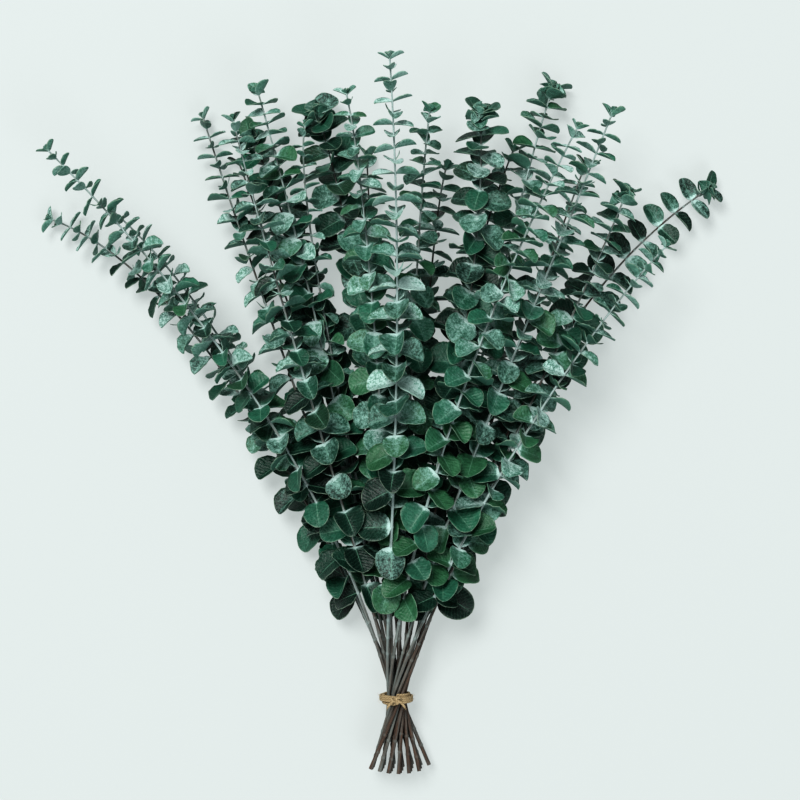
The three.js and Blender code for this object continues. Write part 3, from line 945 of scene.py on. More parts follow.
class Wiring:
    """Adds nodes to one shader tree and links them by their sockets' names."""

    def __init__(self, tree: bpy.types.NodeTree) -> None:
        """Takes the tree that nodes are added to."""
        self.tree = tree

    def node(
        self, kind: str, values: dict[str | int, Source] | None = None, **settings: object,
    ) -> bpy.types.Node:
        """Adds one node.

        Args:
            kind: The node's type, without the leading ShaderNode.
            values: What goes into each input, by its name or number.
            settings: The node's own settings.

        Returns:
            The node.
        """
        made = self.tree.nodes.new("ShaderNode" + kind)
        for name, value in settings.items():
            setattr(made, name, value)
        for socket, value in (values or {}).items():
            self.put(made.inputs[socket], value)
        return made

    def put(self, socket: Socket, value: Source) -> None:
        """Links a socket, or sets its value.

        Args:
            socket: The input that is filled.
            value: Another node's output, a number or a colour.
        """
        if isinstance(value, bpy.types.NodeSocket):
            self.tree.links.new(value, socket)
        elif isinstance(value, tuple) and socket.type == "RGBA":
            socket.default_value = (*value, 1.0)
        else:
            socket.default_value = value

    def math(self, operation: str, *values: Source, clamp: bool = False) -> Socket:
        """The result of one sum on numbers."""
        inputs = dict(enumerate(values))
        return self.node("Math", inputs, operation=operation, use_clamp=clamp).outputs[0]

    def plus(self, first: Source, second: Source) -> Socket:
        """The sum of two numbers."""
        return self.math("ADD", first, second)

    def times(self, first: Source, second: Source) -> Socket:
        """The product of two numbers."""
        return self.math("MULTIPLY", first, second)

    def scaled(self, value: Source, factor: Source, added: Source, clamp: bool = False) -> Socket:
        """A number times a factor, with another added."""
        return self.math("MULTIPLY_ADD", value, factor, added, clamp=clamp)

    def split(self, vector: Source) -> tuple[Socket, ...]:
        """The three parts of a vector."""
        return tuple(self.node("SeparateXYZ", {0: vector}).outputs)

    def band(
        self, value: Source, low: float, high: float, to_low: float = 0.0, to_high: float = 1.0,
    ) -> Socket:
        """A smooth ramp of a value.

        Args:
            value: What is ramped.
            low: The value that gives to_low.
            high: The value that gives to_high.
            to_low: The result at low.
            to_high: The result at high.

        Returns:
            The ramped value.
        """
        inputs = {
            "Value": value, "From Min": low, "From Max": high, "To Min": to_low, "To Max": to_high,
        }
        return self.node("MapRange", inputs, interpolation_type="SMOOTHSTEP").outputs[0]

    def noise(
        self, vector: Source, scale: Source, detail: float = 3.0, roughness: float = 0.55,
    ) -> Socket:
        """A soft noise between 0 and 1."""
        inputs = {"Vector": vector, "Scale": scale, "Detail": detail, "Roughness": roughness}
        return self.node("TexNoise", inputs).outputs[0]

    def colour(
        self, share: Source, below: Source, above: Source, blend: Blend = Blend.PLAIN,
    ) -> Socket:
        """One colour laid over another.

        Args:
            share: How much of the upper colour shows.
            below: The lower colour.
            above: The upper colour.
            blend: How the two are mixed.

        Returns:
            The mixed colour.
        """
        made = self.node("Mix", data_type="RGBA", blend_type=blend.value)
        self.put(made.inputs["Factor"], share)
        self.put(made.inputs[6], below)
        self.put(made.inputs[7], above)
        return made.outputs[2]

    def bump(self, height: Source, strength: float, distance: float) -> Socket:
        """A surface normal that rises and falls with a height."""
        inputs = {"Height": height, "Strength": strength, "Distance": distance}
        return self.node("Bump", inputs).outputs[0]

    def fact(self, name: str) -> Socket:
        """A vector that the mesh keeps at its points."""
        return self.node("Attribute", attribute_name=name).outputs["Vector"]


VECTOR, FLOAT = "NodeSocketVector", "NodeSocketFloat"
SOFT_NOISE: Range = (0.35, 0.65)


class SharedEffect:
    """A shader node group that is built once and placed in many materials."""

    title = ""
    inputs: tuple[tuple[str, str, float], ...] = ()
    outputs: tuple[str, ...] = ()

    def __init__(self) -> None:
        """Builds the group."""
        self.group = bpy.data.node_groups.new(self.title, "ShaderNodeTree")
        for name, kind, value in self.inputs:
            socket = self.group.interface.new_socket(name=name, in_out="INPUT", socket_type=kind)
            if kind == FLOAT:
                socket.default_value = value
        for name in self.outputs:
            self.group.interface.new_socket(name=name, in_out="OUTPUT", socket_type=FLOAT)
        wires = Wiring(self.group)
        given = self.group.nodes.new("NodeGroupInput").outputs
        taken = self.group.nodes.new("NodeGroupOutput").inputs
        for name, socket in self.build(wires, {socket.name: socket for socket in given}).items():
            self.group.links.new(socket, taken[name])

    def build(self, wires: Wiring, given: Sockets) -> Sockets:
        """Adds the group's nodes.

        Args:
            wires: The group's wiring.
            given: The group's inputs by name.

        Returns:
            What each output gives.
        """
        raise NotImplementedError

    def place(self, wires: Wiring, values: dict[str, Source]) -> Sockets:
        """Places the group in a material.

        Args:
            wires: The material's wiring.
            values: What goes into each input.

        Returns:
            The outputs by name.
        """
        made = wires.tree.nodes.new("ShaderNodeGroup")
        made.node_tree = self.group
        for name, value in values.items():
            wires.put(made.inputs[name], value)
        return {socket.name: socket for socket in made.outputs}


class LeafVeins(SharedEffect):
    """A midrib, side veins that curve forwards, and the fine net between them.

    Each width says where a vein starts to show and where it shows fully, in millimetres.
    """

    title = "Leaf veins"
    inputs = (("Place", VECTOR, 0.0), ("Surface", VECTOR, 0.0), ("Net Size", FLOAT, 0.8))
    outputs = ("Midrib", "Side Veins", "Net", "Ridges")
    midrib_width: Range = (0.45, 0.08)
    midrib_fade = (0.97, 0.6, 0.15, 1.0)
    vein_gap = 1.35
    vein_width: Range = (0.16, 0.02)
    vein_slope = 0.75
    net_width: Range = (0.09, 0.01)
    wobble_scale, wobble_depth = 0.28, 2.6

    def build(self, wires: Wiring, given: Sockets) -> Sockets:
        """Adds the group's nodes.

        Args:
            wires: The group's wiring.
            given: The group's inputs by name.

        Returns:
            What each output gives.
        """
        surface = given["Surface"]
        length_share = wires.split(given["Place"])[0]
        along, aside, _ = wires.split(surface)
        apart = wires.math("ABSOLUTE", aside)
        midrib = wires.band(apart, *self.midrib_width)
        fade = wires.band(length_share, *self.midrib_fade)
        wobble = wires.times(wires.noise(surface, self.wobble_scale), self.wobble_depth)
        slanted = wires.math("SUBTRACT", along, wires.times(apart, self.vein_slope))
        beat = wires.math("PINGPONG", wires.plus(slanted, wobble), self.vein_gap)
        cells = {"Vector": surface, "Scale": given["Net Size"]}
        net = wires.node("TexVoronoi", cells, feature="DISTANCE_TO_EDGE").outputs["Distance"]
        return {
            "Midrib": wires.times(midrib, fade),
            "Side Veins": wires.band(beat, *self.vein_width),
            "Net": wires.band(net, *self.net_width),
            "Ridges": wires.math("DIVIDE", beat, self.vein_gap),
        }


class WaxyBloom(SharedEffect):
    """The pale wax on a leaf: white at its root, heavier by its midrib, worn off in patches.

    Each reach is a share of the length or half width, from where the wax starts to grow to
    where it is full. Each pair of levels says where a mask starts and where it is full.
    """

    title = "Waxy bloom"
    inputs = (("Place", VECTOR, 0.0), ("Surface", VECTOR, 0.0), ("Amount", FLOAT, 0.5))
    outputs = ("Bloom", "Frost")
    joint_reach: Range = (0.22, 0.02)
    root_reach: Range = (0.7, 0.08)
    midrib_reach: Range = (0.45, 0.0)
    amount_share = 0.75
    root_share = 0.2
    midrib_share = 0.12
    joint_share = 0.42
    cloud_share = 0.4
    patch_share = 0.7
    cloud_scale, patch_scale, speck_scale = 0.13, 0.46, 1.1
    patch_levels = (0.34, 0.66, -0.5, 0.5)
    speck_levels = (0.36, 0.64, -0.13, 0.13)
    least_mottle, mottle_gain = 0.2, 0.75
    joint_frost = 0.4
    bloom_levels: Range = (0.5, 1.1)
    frost_levels: Range = (0.95, 1.35)

    def build(self, wires: Wiring, given: Sockets) -> Sockets:
        """Adds the group's nodes.

        Args:
            wires: The group's wiring.
            given: The group's inputs by name.

        Returns:
            What each output gives.
        """
        surface, amount = given["Surface"], given["Amount"]
        length_share, width_share, _ = wires.split(given["Place"])
        joint = wires.band(length_share, *self.joint_reach)
        root = wires.band(length_share, *self.root_reach)
        middle = wires.band(wires.math("ABSOLUTE", width_share), *self.midrib_reach)
        clouds = wires.noise(surface, self.cloud_scale, 2.0)
        patches = wires.noise(surface, self.patch_scale, 6.0, 0.8)
        patches = wires.band(patches, *self.patch_levels)
        specks = wires.noise(surface, self.speck_scale, 3.0, 0.7)
        specks = wires.band(specks, *self.speck_levels)
        wax = wires.plus(wires.times(root, self.root_share), wires.times(middle, self.midrib_share))
        wax = wires.plus(wax, wires.times(joint, self.joint_share))
        wax = wires.plus(wax, wires.times(amount, self.amount_share))
        wax = wires.plus(wax, wires.times(clouds, self.cloud_share))
        mottled = wires.scaled(amount, self.mottle_gain, self.least_mottle, clamp=True)
        mottle = wires.scaled(patches, self.patch_share, specks)
        wax = wires.scaled(mottle, mottled, wax)
        frost = wires.scaled(joint, self.joint_frost, wax)
        return {
            "Bloom": wires.band(wax, *self.bloom_levels),
            "Frost": wires.band(frost, *self.frost_levels),
        }


class FineGrain(SharedEffect):
    """Fine streaks that run along a piece, with darker and lighter stretches."""

    title = "Fine grain"
    inputs = (("Vector", VECTOR, 0.0), ("Fineness", FLOAT, 1.0))
    outputs = ("Streaks", "Patches")
    patch_size: Point = (0.3, 0.3, 0.3)
    streak_levels: Range = (0.35, 0.68)

    def build(self, wires: Wiring, given: Sockets) -> Sockets:
        """Adds the group's nodes.

        Args:
            wires: The group's wiring.
            given: The group's inputs by name.

        Returns:
            What each output gives.
        """
        vector, fineness = given["Vector"], given["Fineness"]
        coarse = wires.node("VectorMath", {0: vector, 1: self.patch_size}, operation="MULTIPLY")
        streaks = wires.noise(vector, fineness, 4.0, 0.65)
        patches = wires.noise(coarse.outputs[0], fineness, 2.0)
        return {
            "Streaks": wires.band(streaks, *self.streak_levels),
            "Patches": wires.band(patches, *SOFT_NOISE),
        }


@dataclass(frozen=True)
class Effects:
    """The shared effects."""

    veins: LeafVeins = field(default_factory=LeafVeins)
    bloom: WaxyBloom = field(default_factory=WaxyBloom)
    grain: FineGrain = field(default_factory=FineGrain)


# ---- finishes -----------------------------------------------------------------------------
def new_material(name: str) -> tuple[bpy.types.Material, Wiring, bpy.types.Node]:
    """Makes an empty material.

    Args:
        name: The finish's name.

    Returns:
        The material, its wiring and its shader.
    """
    material = bpy.data.materials.new(name)
    material.use_nodes = True
    shader = material.node_tree.nodes["Principled BSDF"]
    return material, Wiring(material.node_tree), shader


@dataclass(frozen=True)
class Finish:
    """A finish, which says what goes into its shader's inputs."""

    name: str

    def paint(self, wires: Wiring, effects: Effects) -> dict[str, Source]:
        """Adds the finish's nodes.

        Args:
            wires: The material's wiring.
            effects: The shared effects.

        Returns:
            What each input of the shader is given.
        """
        raise NotImplementedError

    def make(self, effects: Effects) -> bpy.types.Material:
        """Builds the material.

        Args:
            effects: The shared effects.

        Returns:
            The material.
        """
        material, wires, shader = new_material(self.name)
        for name, value in self.paint(wires, effects).items():
            wires.put(shader.inputs[name], value)
        return material


@dataclass(frozen=True)
class LeafFinish(Finish):
    """A satin leaf: deep green, puckered between its pale veins, mottled with wax, thin pale edge.

    amount is how much wax it carries and light is how light its green is. Each leaf's three draws
    vary how light and how fresh it is and how much wax it has.
    """

    amount: float = 0.4
    light: float = 0.5
    dark: Colour = (0.0012, 0.014, 0.01)
    pale: Colour = (0.03, 0.14, 0.09)
    fresh: Colour = (0.045, 0.15, 0.07)
    shade: Colour = (0.28, 0.44, 0.4)
    vein: Colour = (0.13, 0.28, 0.2)
    wax: Colour = (0.2, 0.37, 0.32)
    frost: Colour = (0.52, 0.66, 0.64)
    # under is the paler lower side: partly the leaf's own paler back, partly painted light that lifts the
    # lower sides, which lie in shade.
    under: Colour = (0.1, 0.225, 0.18)
    edge: Colour = (0.24, 0.32, 0.24)
    wax_spread: float = 1.1
    light_spread: float = 1.2
    fresh_start: float = 1.2
    fresh_gain: float = 0.65
    fresh_blur: float = 0.1
    fresh_share: float = 0.8
    cloud_scale: float = 0.3
    shade_share: float = 0.6
    midrib_share: float = 0.65
    side_vein_share: float = 0.3
    net_share: float = 0.12
    net_size: float = 0.75
    wax_share: float = 0.8
    frost_share: float = 0.68
    underside_and_painted_light_share: float = 0.6
    under_vein_share: float = 0.7
    edge_share: float = 0.7
    edge_reach: Range = (0.94, 1.0)
    worn_scale: float = 0.2
    worn_edge: float = 0.15
    ridges: float = 0.35
    puckers: float = 2.2
    pucker_scale: float = 0.36
    grain: float = 0.35
    grain_scale: float = 1.2
    roughness: Range = (0.46, 0.7)
    bump_strength: float = 0.8
    bump_depth: float = 0.0005
    gloss: float = 0.4

    def _green(self, wires: Wiring, surface: Socket, first: Socket, second: Socket) -> Socket:
        """The leaf's green before veins and wax.

        Args:
            wires: The material's wiring.
            surface: The place on the leaf in millimetres.
            first: The draw for how light it is.
            second: The draw for whether it is a fresh one.

        Returns:
            The colour.
        """
        start = self.light - self.light_spread / 2
        lightness = wires.scaled(first, self.light_spread, start, clamp=True)
        colour = wires.colour(lightness, self.dark, self.pale)
        rarity, blur = self.fresh_start - self.fresh_gain * self.light, self.fresh_blur
        freshness = wires.band(second, rarity - blur, rarity + blur, 0.0, self.fresh_share)
        colour = wires.colour(freshness, colour, self.fresh)
        clouds = wires.noise(surface, self.cloud_scale, 4.0, 0.65)
        clouds = wires.band(clouds, *SOFT_NOISE, 0.0, self.shade_share)
        return wires.colour(clouds, colour, self.shade, Blend.DARKEN)

    def _edged(self, wires: Wiring, colour: Socket, surface: Socket, rim: Socket) -> Socket:
        """Lays the thin pale edge over a colour, worn away in places.

        Args:
            wires: The material's wiring.
            colour: The leaf's colour.
            surface: The place on the leaf in millimetres.
            rim: How near the edge is, up to 1.

        Returns:
            The colour with its edge.
        """
        worn = wires.noise(surface, self.worn_scale, 2.0)
        worn = wires.band(worn, *SOFT_NOISE, self.worn_edge, 1.0)
        border = wires.band(rim, *self.edge_reach, 0.0, self.edge_share)
        border = wires.times(border, worn)
        return wires.colour(border, colour, self.edge)

    def _relief(self, wires: Wiring, surface: Socket, ridges: Socket) -> Socket:
        """The leaf's fine relief: ridges between the veins, puckers and grain.

        Args:
            wires: The material's wiring.
            surface: The place on the leaf in millimetres.
            ridges: How far the place is from the side veins.

        Returns:
            The surface normal.
        """
        pucker = wires.noise(surface, self.pucker_scale, 3.0, 0.6)
        grain = wires.noise(surface, self.grain_scale, 3.0)
        height = wires.plus(wires.times(ridges, self.ridges), wires.times(pucker, self.puckers))
        height = wires.plus(height, wires.times(grain, self.grain))
        return wires.bump(height, self.bump_strength, self.bump_depth)

    def paint(self, wires: Wiring, effects: Effects) -> dict[str, Source]:
        """Adds the finish's nodes.

        Args:
            wires: The material's wiring.
            effects: The shared effects.

        Returns:
            What each input of the shader is given.
        """
        place, surface = wires.fact("leaf_place"), wires.fact("leaf_surface")
        first, second, third = wires.split(wires.fact("leaf_draws"))
        sites = {"Place": place, "Surface": surface}
        veins = effects.veins.place(wires, {**sites, "Net Size": self.net_size})
        own = wires.scaled(third, self.wax_spread, self.amount - 0.5)
        wax = effects.bloom.place(wires, {**sites, "Amount": own})
        sides = wires.times(veins["Side Veins"], self.side_vein_share)
        fine = wires.math("MAXIMUM", sides, wires.times(veins["Net"], self.net_share))
        fine = wires.math("MAXIMUM", fine, wires.times(veins["Midrib"], self.midrib_share))
        colour = wires.colour(fine, self._green(wires, surface, first, second), self.vein)
        colour = wires.colour(wires.times(wax["Bloom"], self.wax_share), colour, self.wax)
        colour = wires.colour(wires.times(wax["Frost"], self.frost_share), colour, self.frost)
        # The lower side is paler: partly its own colour, partly painted light on a side that lies in shade.
        back = wires.split(wires.fact("leaf_side"))[0]
        under = wires.colour(wires.times(fine, self.under_vein_share), self.under, self.vein)
        colour = wires.colour(wires.times(back, self.underside_and_painted_light_share), colour, under)
        return {
            "Base Color": self._edged(wires, colour, surface, wires.split(place)[2]),
            "Roughness": wires.band(wax["Bloom"], 0.0, 1.0, *self.roughness),
            "Normal": self._relief(wires, surface, veins["Ridges"]),
            "Specular IOR Level": self.gloss,
        }


@dataclass(frozen=True)
class StreakedFinish(Finish):
    """A dull finish with fine streaks, which change its colour, roughness and relief."""

    fineness: float = 1.0
    roughness: Range = (0.6, 0.8)
    bump_strength: float = 0.0
    bump_depth: float = 0.0003

    def tint(self, wires: Wiring, surface: Socket, place: Socket, grain: Sockets) -> Socket:
        """Adds the nodes of the colour.

        Args:
            wires: The material's wiring.
            surface: The place on the surface in millimetres.
            place: What the mesh says about the place in the piece.
            grain: The streaks and patches.

        Returns:
            The colour.
        """
        raise NotImplementedError

    def paint(self, wires: Wiring, effects: Effects) -> dict[str, Source]:
        """Adds the finish's nodes.

        Args:
            wires: The material's wiring.
            effects: The shared effects.

        Returns:
            What each input of the shader is given.
        """
        surface, place = wires.fact("leaf_surface"), wires.fact("leaf_place")
        grain = effects.grain.place(wires, {"Vector": surface, "Fineness": self.fineness})
        streaks = grain["Streaks"]
        given = {
            "Base Color": self.tint(wires, surface, place, grain),
            "Roughness": wires.band(streaks, 0.0, 1.0, *self.roughness),
        }
        if self.bump_strength:
            given["Normal"] = wires.bump(streaks, self.bump_strength, self.bump_depth)
        return given


@dataclass(frozen=True)
class BarkFinish(StreakedFinish):
    """Thin smooth bark: brown and nearly black, whitened by wax that is thickest at the knots."""

    fineness: float = 1.1
    bump_strength: float = 0.5
    amount: float = 0.4
    dark: Colour = (0.02, 0.017, 0.014)
    warm: Colour = (0.11, 0.06, 0.038)
    young: Colour = (0.1, 0.13, 0.1)
    wax: Colour = (0.34, 0.43, 0.42)
    young_reach: Range = (0.55, 1.0)
    young_share: float = 0.6
    patchiness: float = 0.7
    wax_gain: float = 1.3
    wax_start: float = 0.25
    knot_wax: float = 0.5
    old_reach: Range = (0.05, 0.3)
    old_wax: float = 0.3
    fleck_scale: float = 2.3
    fleck_levels: Range = (0.56, 0.7)
    fleck_share: float = 0.6

    def tint(self, wires: Wiring, surface: Socket, place: Socket, grain: Sockets) -> Socket:
        """Adds the nodes of the colour.

        Args:
            wires: The material's wiring.
            surface: The place on the surface in millimetres.
            place: The share of the stem's length, and how much a knot swells there.
            grain: The streaks and patches.

        Returns:
            The colour.
        """
        share, ring, _ = wires.split(place)
        colour = wires.colour(grain["Streaks"], self.dark, self.warm)
        young = wires.band(share, *self.young_reach, 0.0, self.young_share)
        colour = wires.colour(young, colour, self.young)
        start = self.wax_gain * self.amount - self.wax_start
        level = wires.scaled(grain["Patches"], self.patchiness, start)
        level = wires.scaled(ring, self.knot_wax, level)
        worn = wires.band(share, *self.old_reach, self.old_wax, 1.0)
        level = wires.math("MULTIPLY", level, worn, clamp=True)
        colour = wires.colour(level, colour, self.wax)
        flecks = wires.noise(surface, self.fleck_scale, 3.0, 0.6)
        flecks = wires.band(flecks, *self.fleck_levels, 0.0, self.fleck_share)
        return wires.colour(flecks, colour, self.dark)


@dataclass(frozen=True)
class CutFinish(StreakedFinish):
    """Cut wood: pale, with fine rings round a darker pith."""

    name: str = "cut wood"
    fineness: float = 2.0
    roughness: Range = (0.75, 0.9)
    pale: Colour = (0.42, 0.3, 0.17)
    dark: Colour = (0.2, 0.12, 0.06)
    ring_gap: float = 0.16
    ring_levels: Range = (0.02, 0.14)
    ring_share: float = 0.3
    grain_share: float = 0.35
    pith: Range = (0.22, 0.1)

    def tint(self, wires: Wiring, surface: Socket, place: Socket, grain: Sockets) -> Socket:
        """Adds the nodes of the colour.

        Args:
            wires: The material's wiring.
            surface: The place on the surface in millimetres; not used here.
            place: How far it is from the middle of the cut, as a share of its radius.
            grain: The streaks and patches.

        Returns:
            The colour.
        """
        centre = wires.split(place)[2]
        rings = wires.math("PINGPONG", centre, self.ring_gap)
        rings = wires.band(rings, *self.ring_levels)
        rings = wires.times(rings, self.ring_share)
        share = wires.scaled(grain["Streaks"], self.grain_share, rings)
        colour = wires.colour(share, self.pale, self.dark)
        return wires.colour(wires.band(centre, *self.pith), colour, self.dark)


@dataclass(frozen=True)
class TwineFinish(StreakedFinish):
    """Plain twisted fibre: tan, with painted shade in the grooves between the strands, and paler stretches.
    """

    name: str = "twine"
    fineness: float = 1.6
    roughness: Range = (0.82, 0.95)
    bump_strength: float = 0.7
    pale: Colour = (0.5, 0.38, 0.22)
    # deep is painted shade, laid in the grooves between the strands.
    deep: Colour = (0.1, 0.06, 0.025)
    bleached: Colour = (0.62, 0.5, 0.32)
    streak_share: float = 0.35
    painted_groove_shade_share: float = 0.8
    bleached_share: float = 0.25

    def tint(self, wires: Wiring, surface: Socket, place: Socket, grain: Sockets) -> Socket:
        """Adds the nodes of the colour.

        Args:
            wires: The material's wiring.
            surface: The place on the surface in millimetres; not used here.
            place: How deep it is in a groove between the strands, which sets the painted shade there.
            grain: The streaks and patches.

        Returns:
            The colour.
        """
        # Painted shade: darker the deeper a point lies in a groove between the strands.
        groove = wires.times(wires.split(place)[2], self.painted_groove_shade_share)
        share = wires.scaled(grain["Streaks"], self.streak_share, groove, clamp=True)
        colour = wires.colour(share, self.pale, self.deep)
        bleach = wires.times(grain["Patches"], self.bleached_share)
        return wires.colour(bleach, colour, self.bleached)


# ---- sub-assemblies -----------------------------------------------------------------------
LEAF, BARK, CUT = range(3)


@dataclass
class LeafyStem:
    """One leafy stem: round wood with knots at its pairs and old leaf scars, and its leaves.

    The steps set the patterns of stems and leaves apart. Distances are in millimetres.
    """

    plan: StemPlan
    path: StemPath
    leaves: list[LeafPose]
    rule: LeafRule
    seed: int
    sides: int = 9
    section_gap: float = 4.0
    slimness: float = 0.93
    unevenness: float = 0.035
    tip_taper: float = 0.45
    knot_swell: float = 0.26
    knot_reach: float = 0.9
    knot_steps: tuple[float, ...] = (-1.4, -0.5, 0.5, 1.4)
    scars: tuple[float, ...] = (60.0, 46.0, 33.0, -28.0, -41.0)
    scar_shift: float = 3.0
    scar_turn: float = 2.1
    smooth_neck: float = 20.0
    bark_radius: float = 3.0
    bark_stretch: float = 0.12
    bark_step: float = 31.0
    cut_share: float = 0.55
    cut_depth: float = 0.2
    cut_dish: float = 0.12
    cut_step: float = 7.0
    stem_step: float = 13.0
    leaf_step: float = 9.7

    def _sections(self) -> tuple[np.ndarray, np.ndarray]:
        """Where the wood's rings are, closer together round the knots.

        Returns:
            Distances along the stem, and how much each is part of a knot, up to 1.
        """
        length = self.path.length
        shift = self.scar_shift * math.sin(self.seed * self.scar_turn)
        knots = [length - pair for pair in self.rule.pairs(length)]
        knots = np.array(knots + [scar + shift for scar in self.scars])
        regular = np.arange(-NECK.cut_length, length, self.section_gap)
        close = np.concatenate([knots + step for step in self.knot_steps])
        distances = np.unique(np.round(np.concatenate((regular, close, (length,))), 3))
        distances = distances[(distances >= -NECK.cut_length) & (distances <= length)]
        away = np.abs(distances[:, None] - knots[None, :]).min(1)
        swell = np.exp(-((away / self.knot_reach) ** 2))
        return distances, swell * (np.abs(distances) > self.smooth_neck)

    def wood(self, skin: Skin) -> None:
        """Adds the wood, with its cut end and its rounded tip.

        Args:
            skin: The mesh in the making.
        """
        distances, ring = self._sections()
        count, sides, blank = len(distances), self.sides, np.zeros(3)
        rng = np.random.default_rng(self.seed)
        radius = self.path.radius(distances) * (self.slimness + self.knot_swell * ring)
        uneven = rng.uniform(-self.unevenness, self.unevenness, (count, sides))
        radius = radius[:, None] * (1 + uneven)
        radius[-1] *= self.tip_taper
        frames = self.path.frames(distances)
        points = tube_points(frames, radius, sides)
        angles = np.tile(np.arange(sides) * math.tau / sides, count)
        lengths = np.repeat(distances, sides)
        around = np.stack((np.cos(angles), np.sin(angles)), 1) * self.bark_radius
        surface = np.column_stack((around, lengths * self.bark_stretch + self.seed * self.bark_step))
        share = np.clip(lengths / self.path.length, 0, 1)
        place = np.stack((share, np.repeat(ring, sides), np.zeros(len(lengths))), 1)
        faces = tube_faces(count, sides)
        faces.append(tuple((count - 1) * sides + side for side in reversed(range(sides))))
        facts = {"leaf_surface": surface, "leaf_place": place}
        skin.add(points, faces, BARK, **facts, leaf_draws=blank, leaf_side=blank)
        self.cut_end(skin, points[:sides], frames)

    def cut_end(self, skin: Skin, border: np.ndarray, frames: Frames) -> None:
        """Adds the face of the cut, which is a little hollow.

        Args:
            skin: The mesh in the making.
            border: The wood's first ring of points.
            frames: The wood's frames, from the cut end on.
        """
        centre, inwards, blank = border.mean(0), frames.along[0], np.zeros(3)
        inner = centre + (border - centre) * self.cut_share + inwards * self.cut_dish
        middle = centre + inwards * self.cut_depth
        points = np.vstack((border, inner, middle))
        sides = self.sides
        faces = [(i, (i + 1) % sides, sides + (i + 1) % sides, sides + i) for i in range(sides)]
        faces += [(sides + i, sides + (i + 1) % sides, 2 * sides) for i in range(sides)]
        shares = np.concatenate((np.ones(sides), np.full(sides, self.cut_share), (0.0,)))
        place = np.stack((shares * 0, shares * 0, shares), 1)
        facts = {"leaf_surface": points - centre + self.seed * self.cut_step, "leaf_place": place}
        skin.add(points, faces, CUT, **facts, leaf_draws=blank, leaf_side=blank)

    def blade(self, skin: Skin, pose: LeafPose, form: Blade, extra_offset: float) -> None:
        """Adds one leaf.

        Args:
            skin: The mesh in the making.
            pose: The leaf.
            form: The form of the leaves.
            extra_offset: A number that gives this leaf's pattern a place of its own.
        """
        places = form.places(form.rows, form.columns)
        points = form.skin(pose, places, 0.0)
        faces, count = form.faces(len(form.rows), len(form.columns)), len(places)
        t, s = places[:, 0], places[:, 1]
        radial = np.sqrt((2 * t - 1) ** 2 + s**2 * (1 - (2 * t - 1) ** 2)) * (t > 0.3)
        radial = np.maximum(radial, np.abs(s) ** 3)
        half = form.half_width(t) * s
        surface = np.stack((t * pose.length, half * pose.width, np.full(count, extra_offset)), 1)
        place = np.stack((t, s, radial), 1)
        side = np.zeros((2 * count, 3))
        side[count:, 0] = 1
        skin.add(
            points, faces, LEAF, leaf_surface=np.vstack((surface, surface)),
            leaf_place=np.vstack((place, place)), leaf_draws=np.array(pose.draws), leaf_side=side,
        )

    def make(self, offset: np.ndarray, materials: list[bpy.types.Material]) -> bpy.types.Object:
        """Builds the piece, which replaces the solid of the same stem.

        Args:
            offset: The shift from the tie to the row's origin, in millimetres.
            materials: Leaf, bark and cut wood.

        Returns:
            The piece.
        """
        skin, form = Skin(), Blade()
        self.wood(skin)
        for number, pose in enumerate(self.leaves):
            step = self.seed * self.stem_step + number * self.leaf_step
            self.blade(skin, pose, form, step)
        piece = skin.piece("leafy_" + self.plan.name, offset, materials)
        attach(piece, "root")
        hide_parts("stem_" + self.plan.name)
        return piece


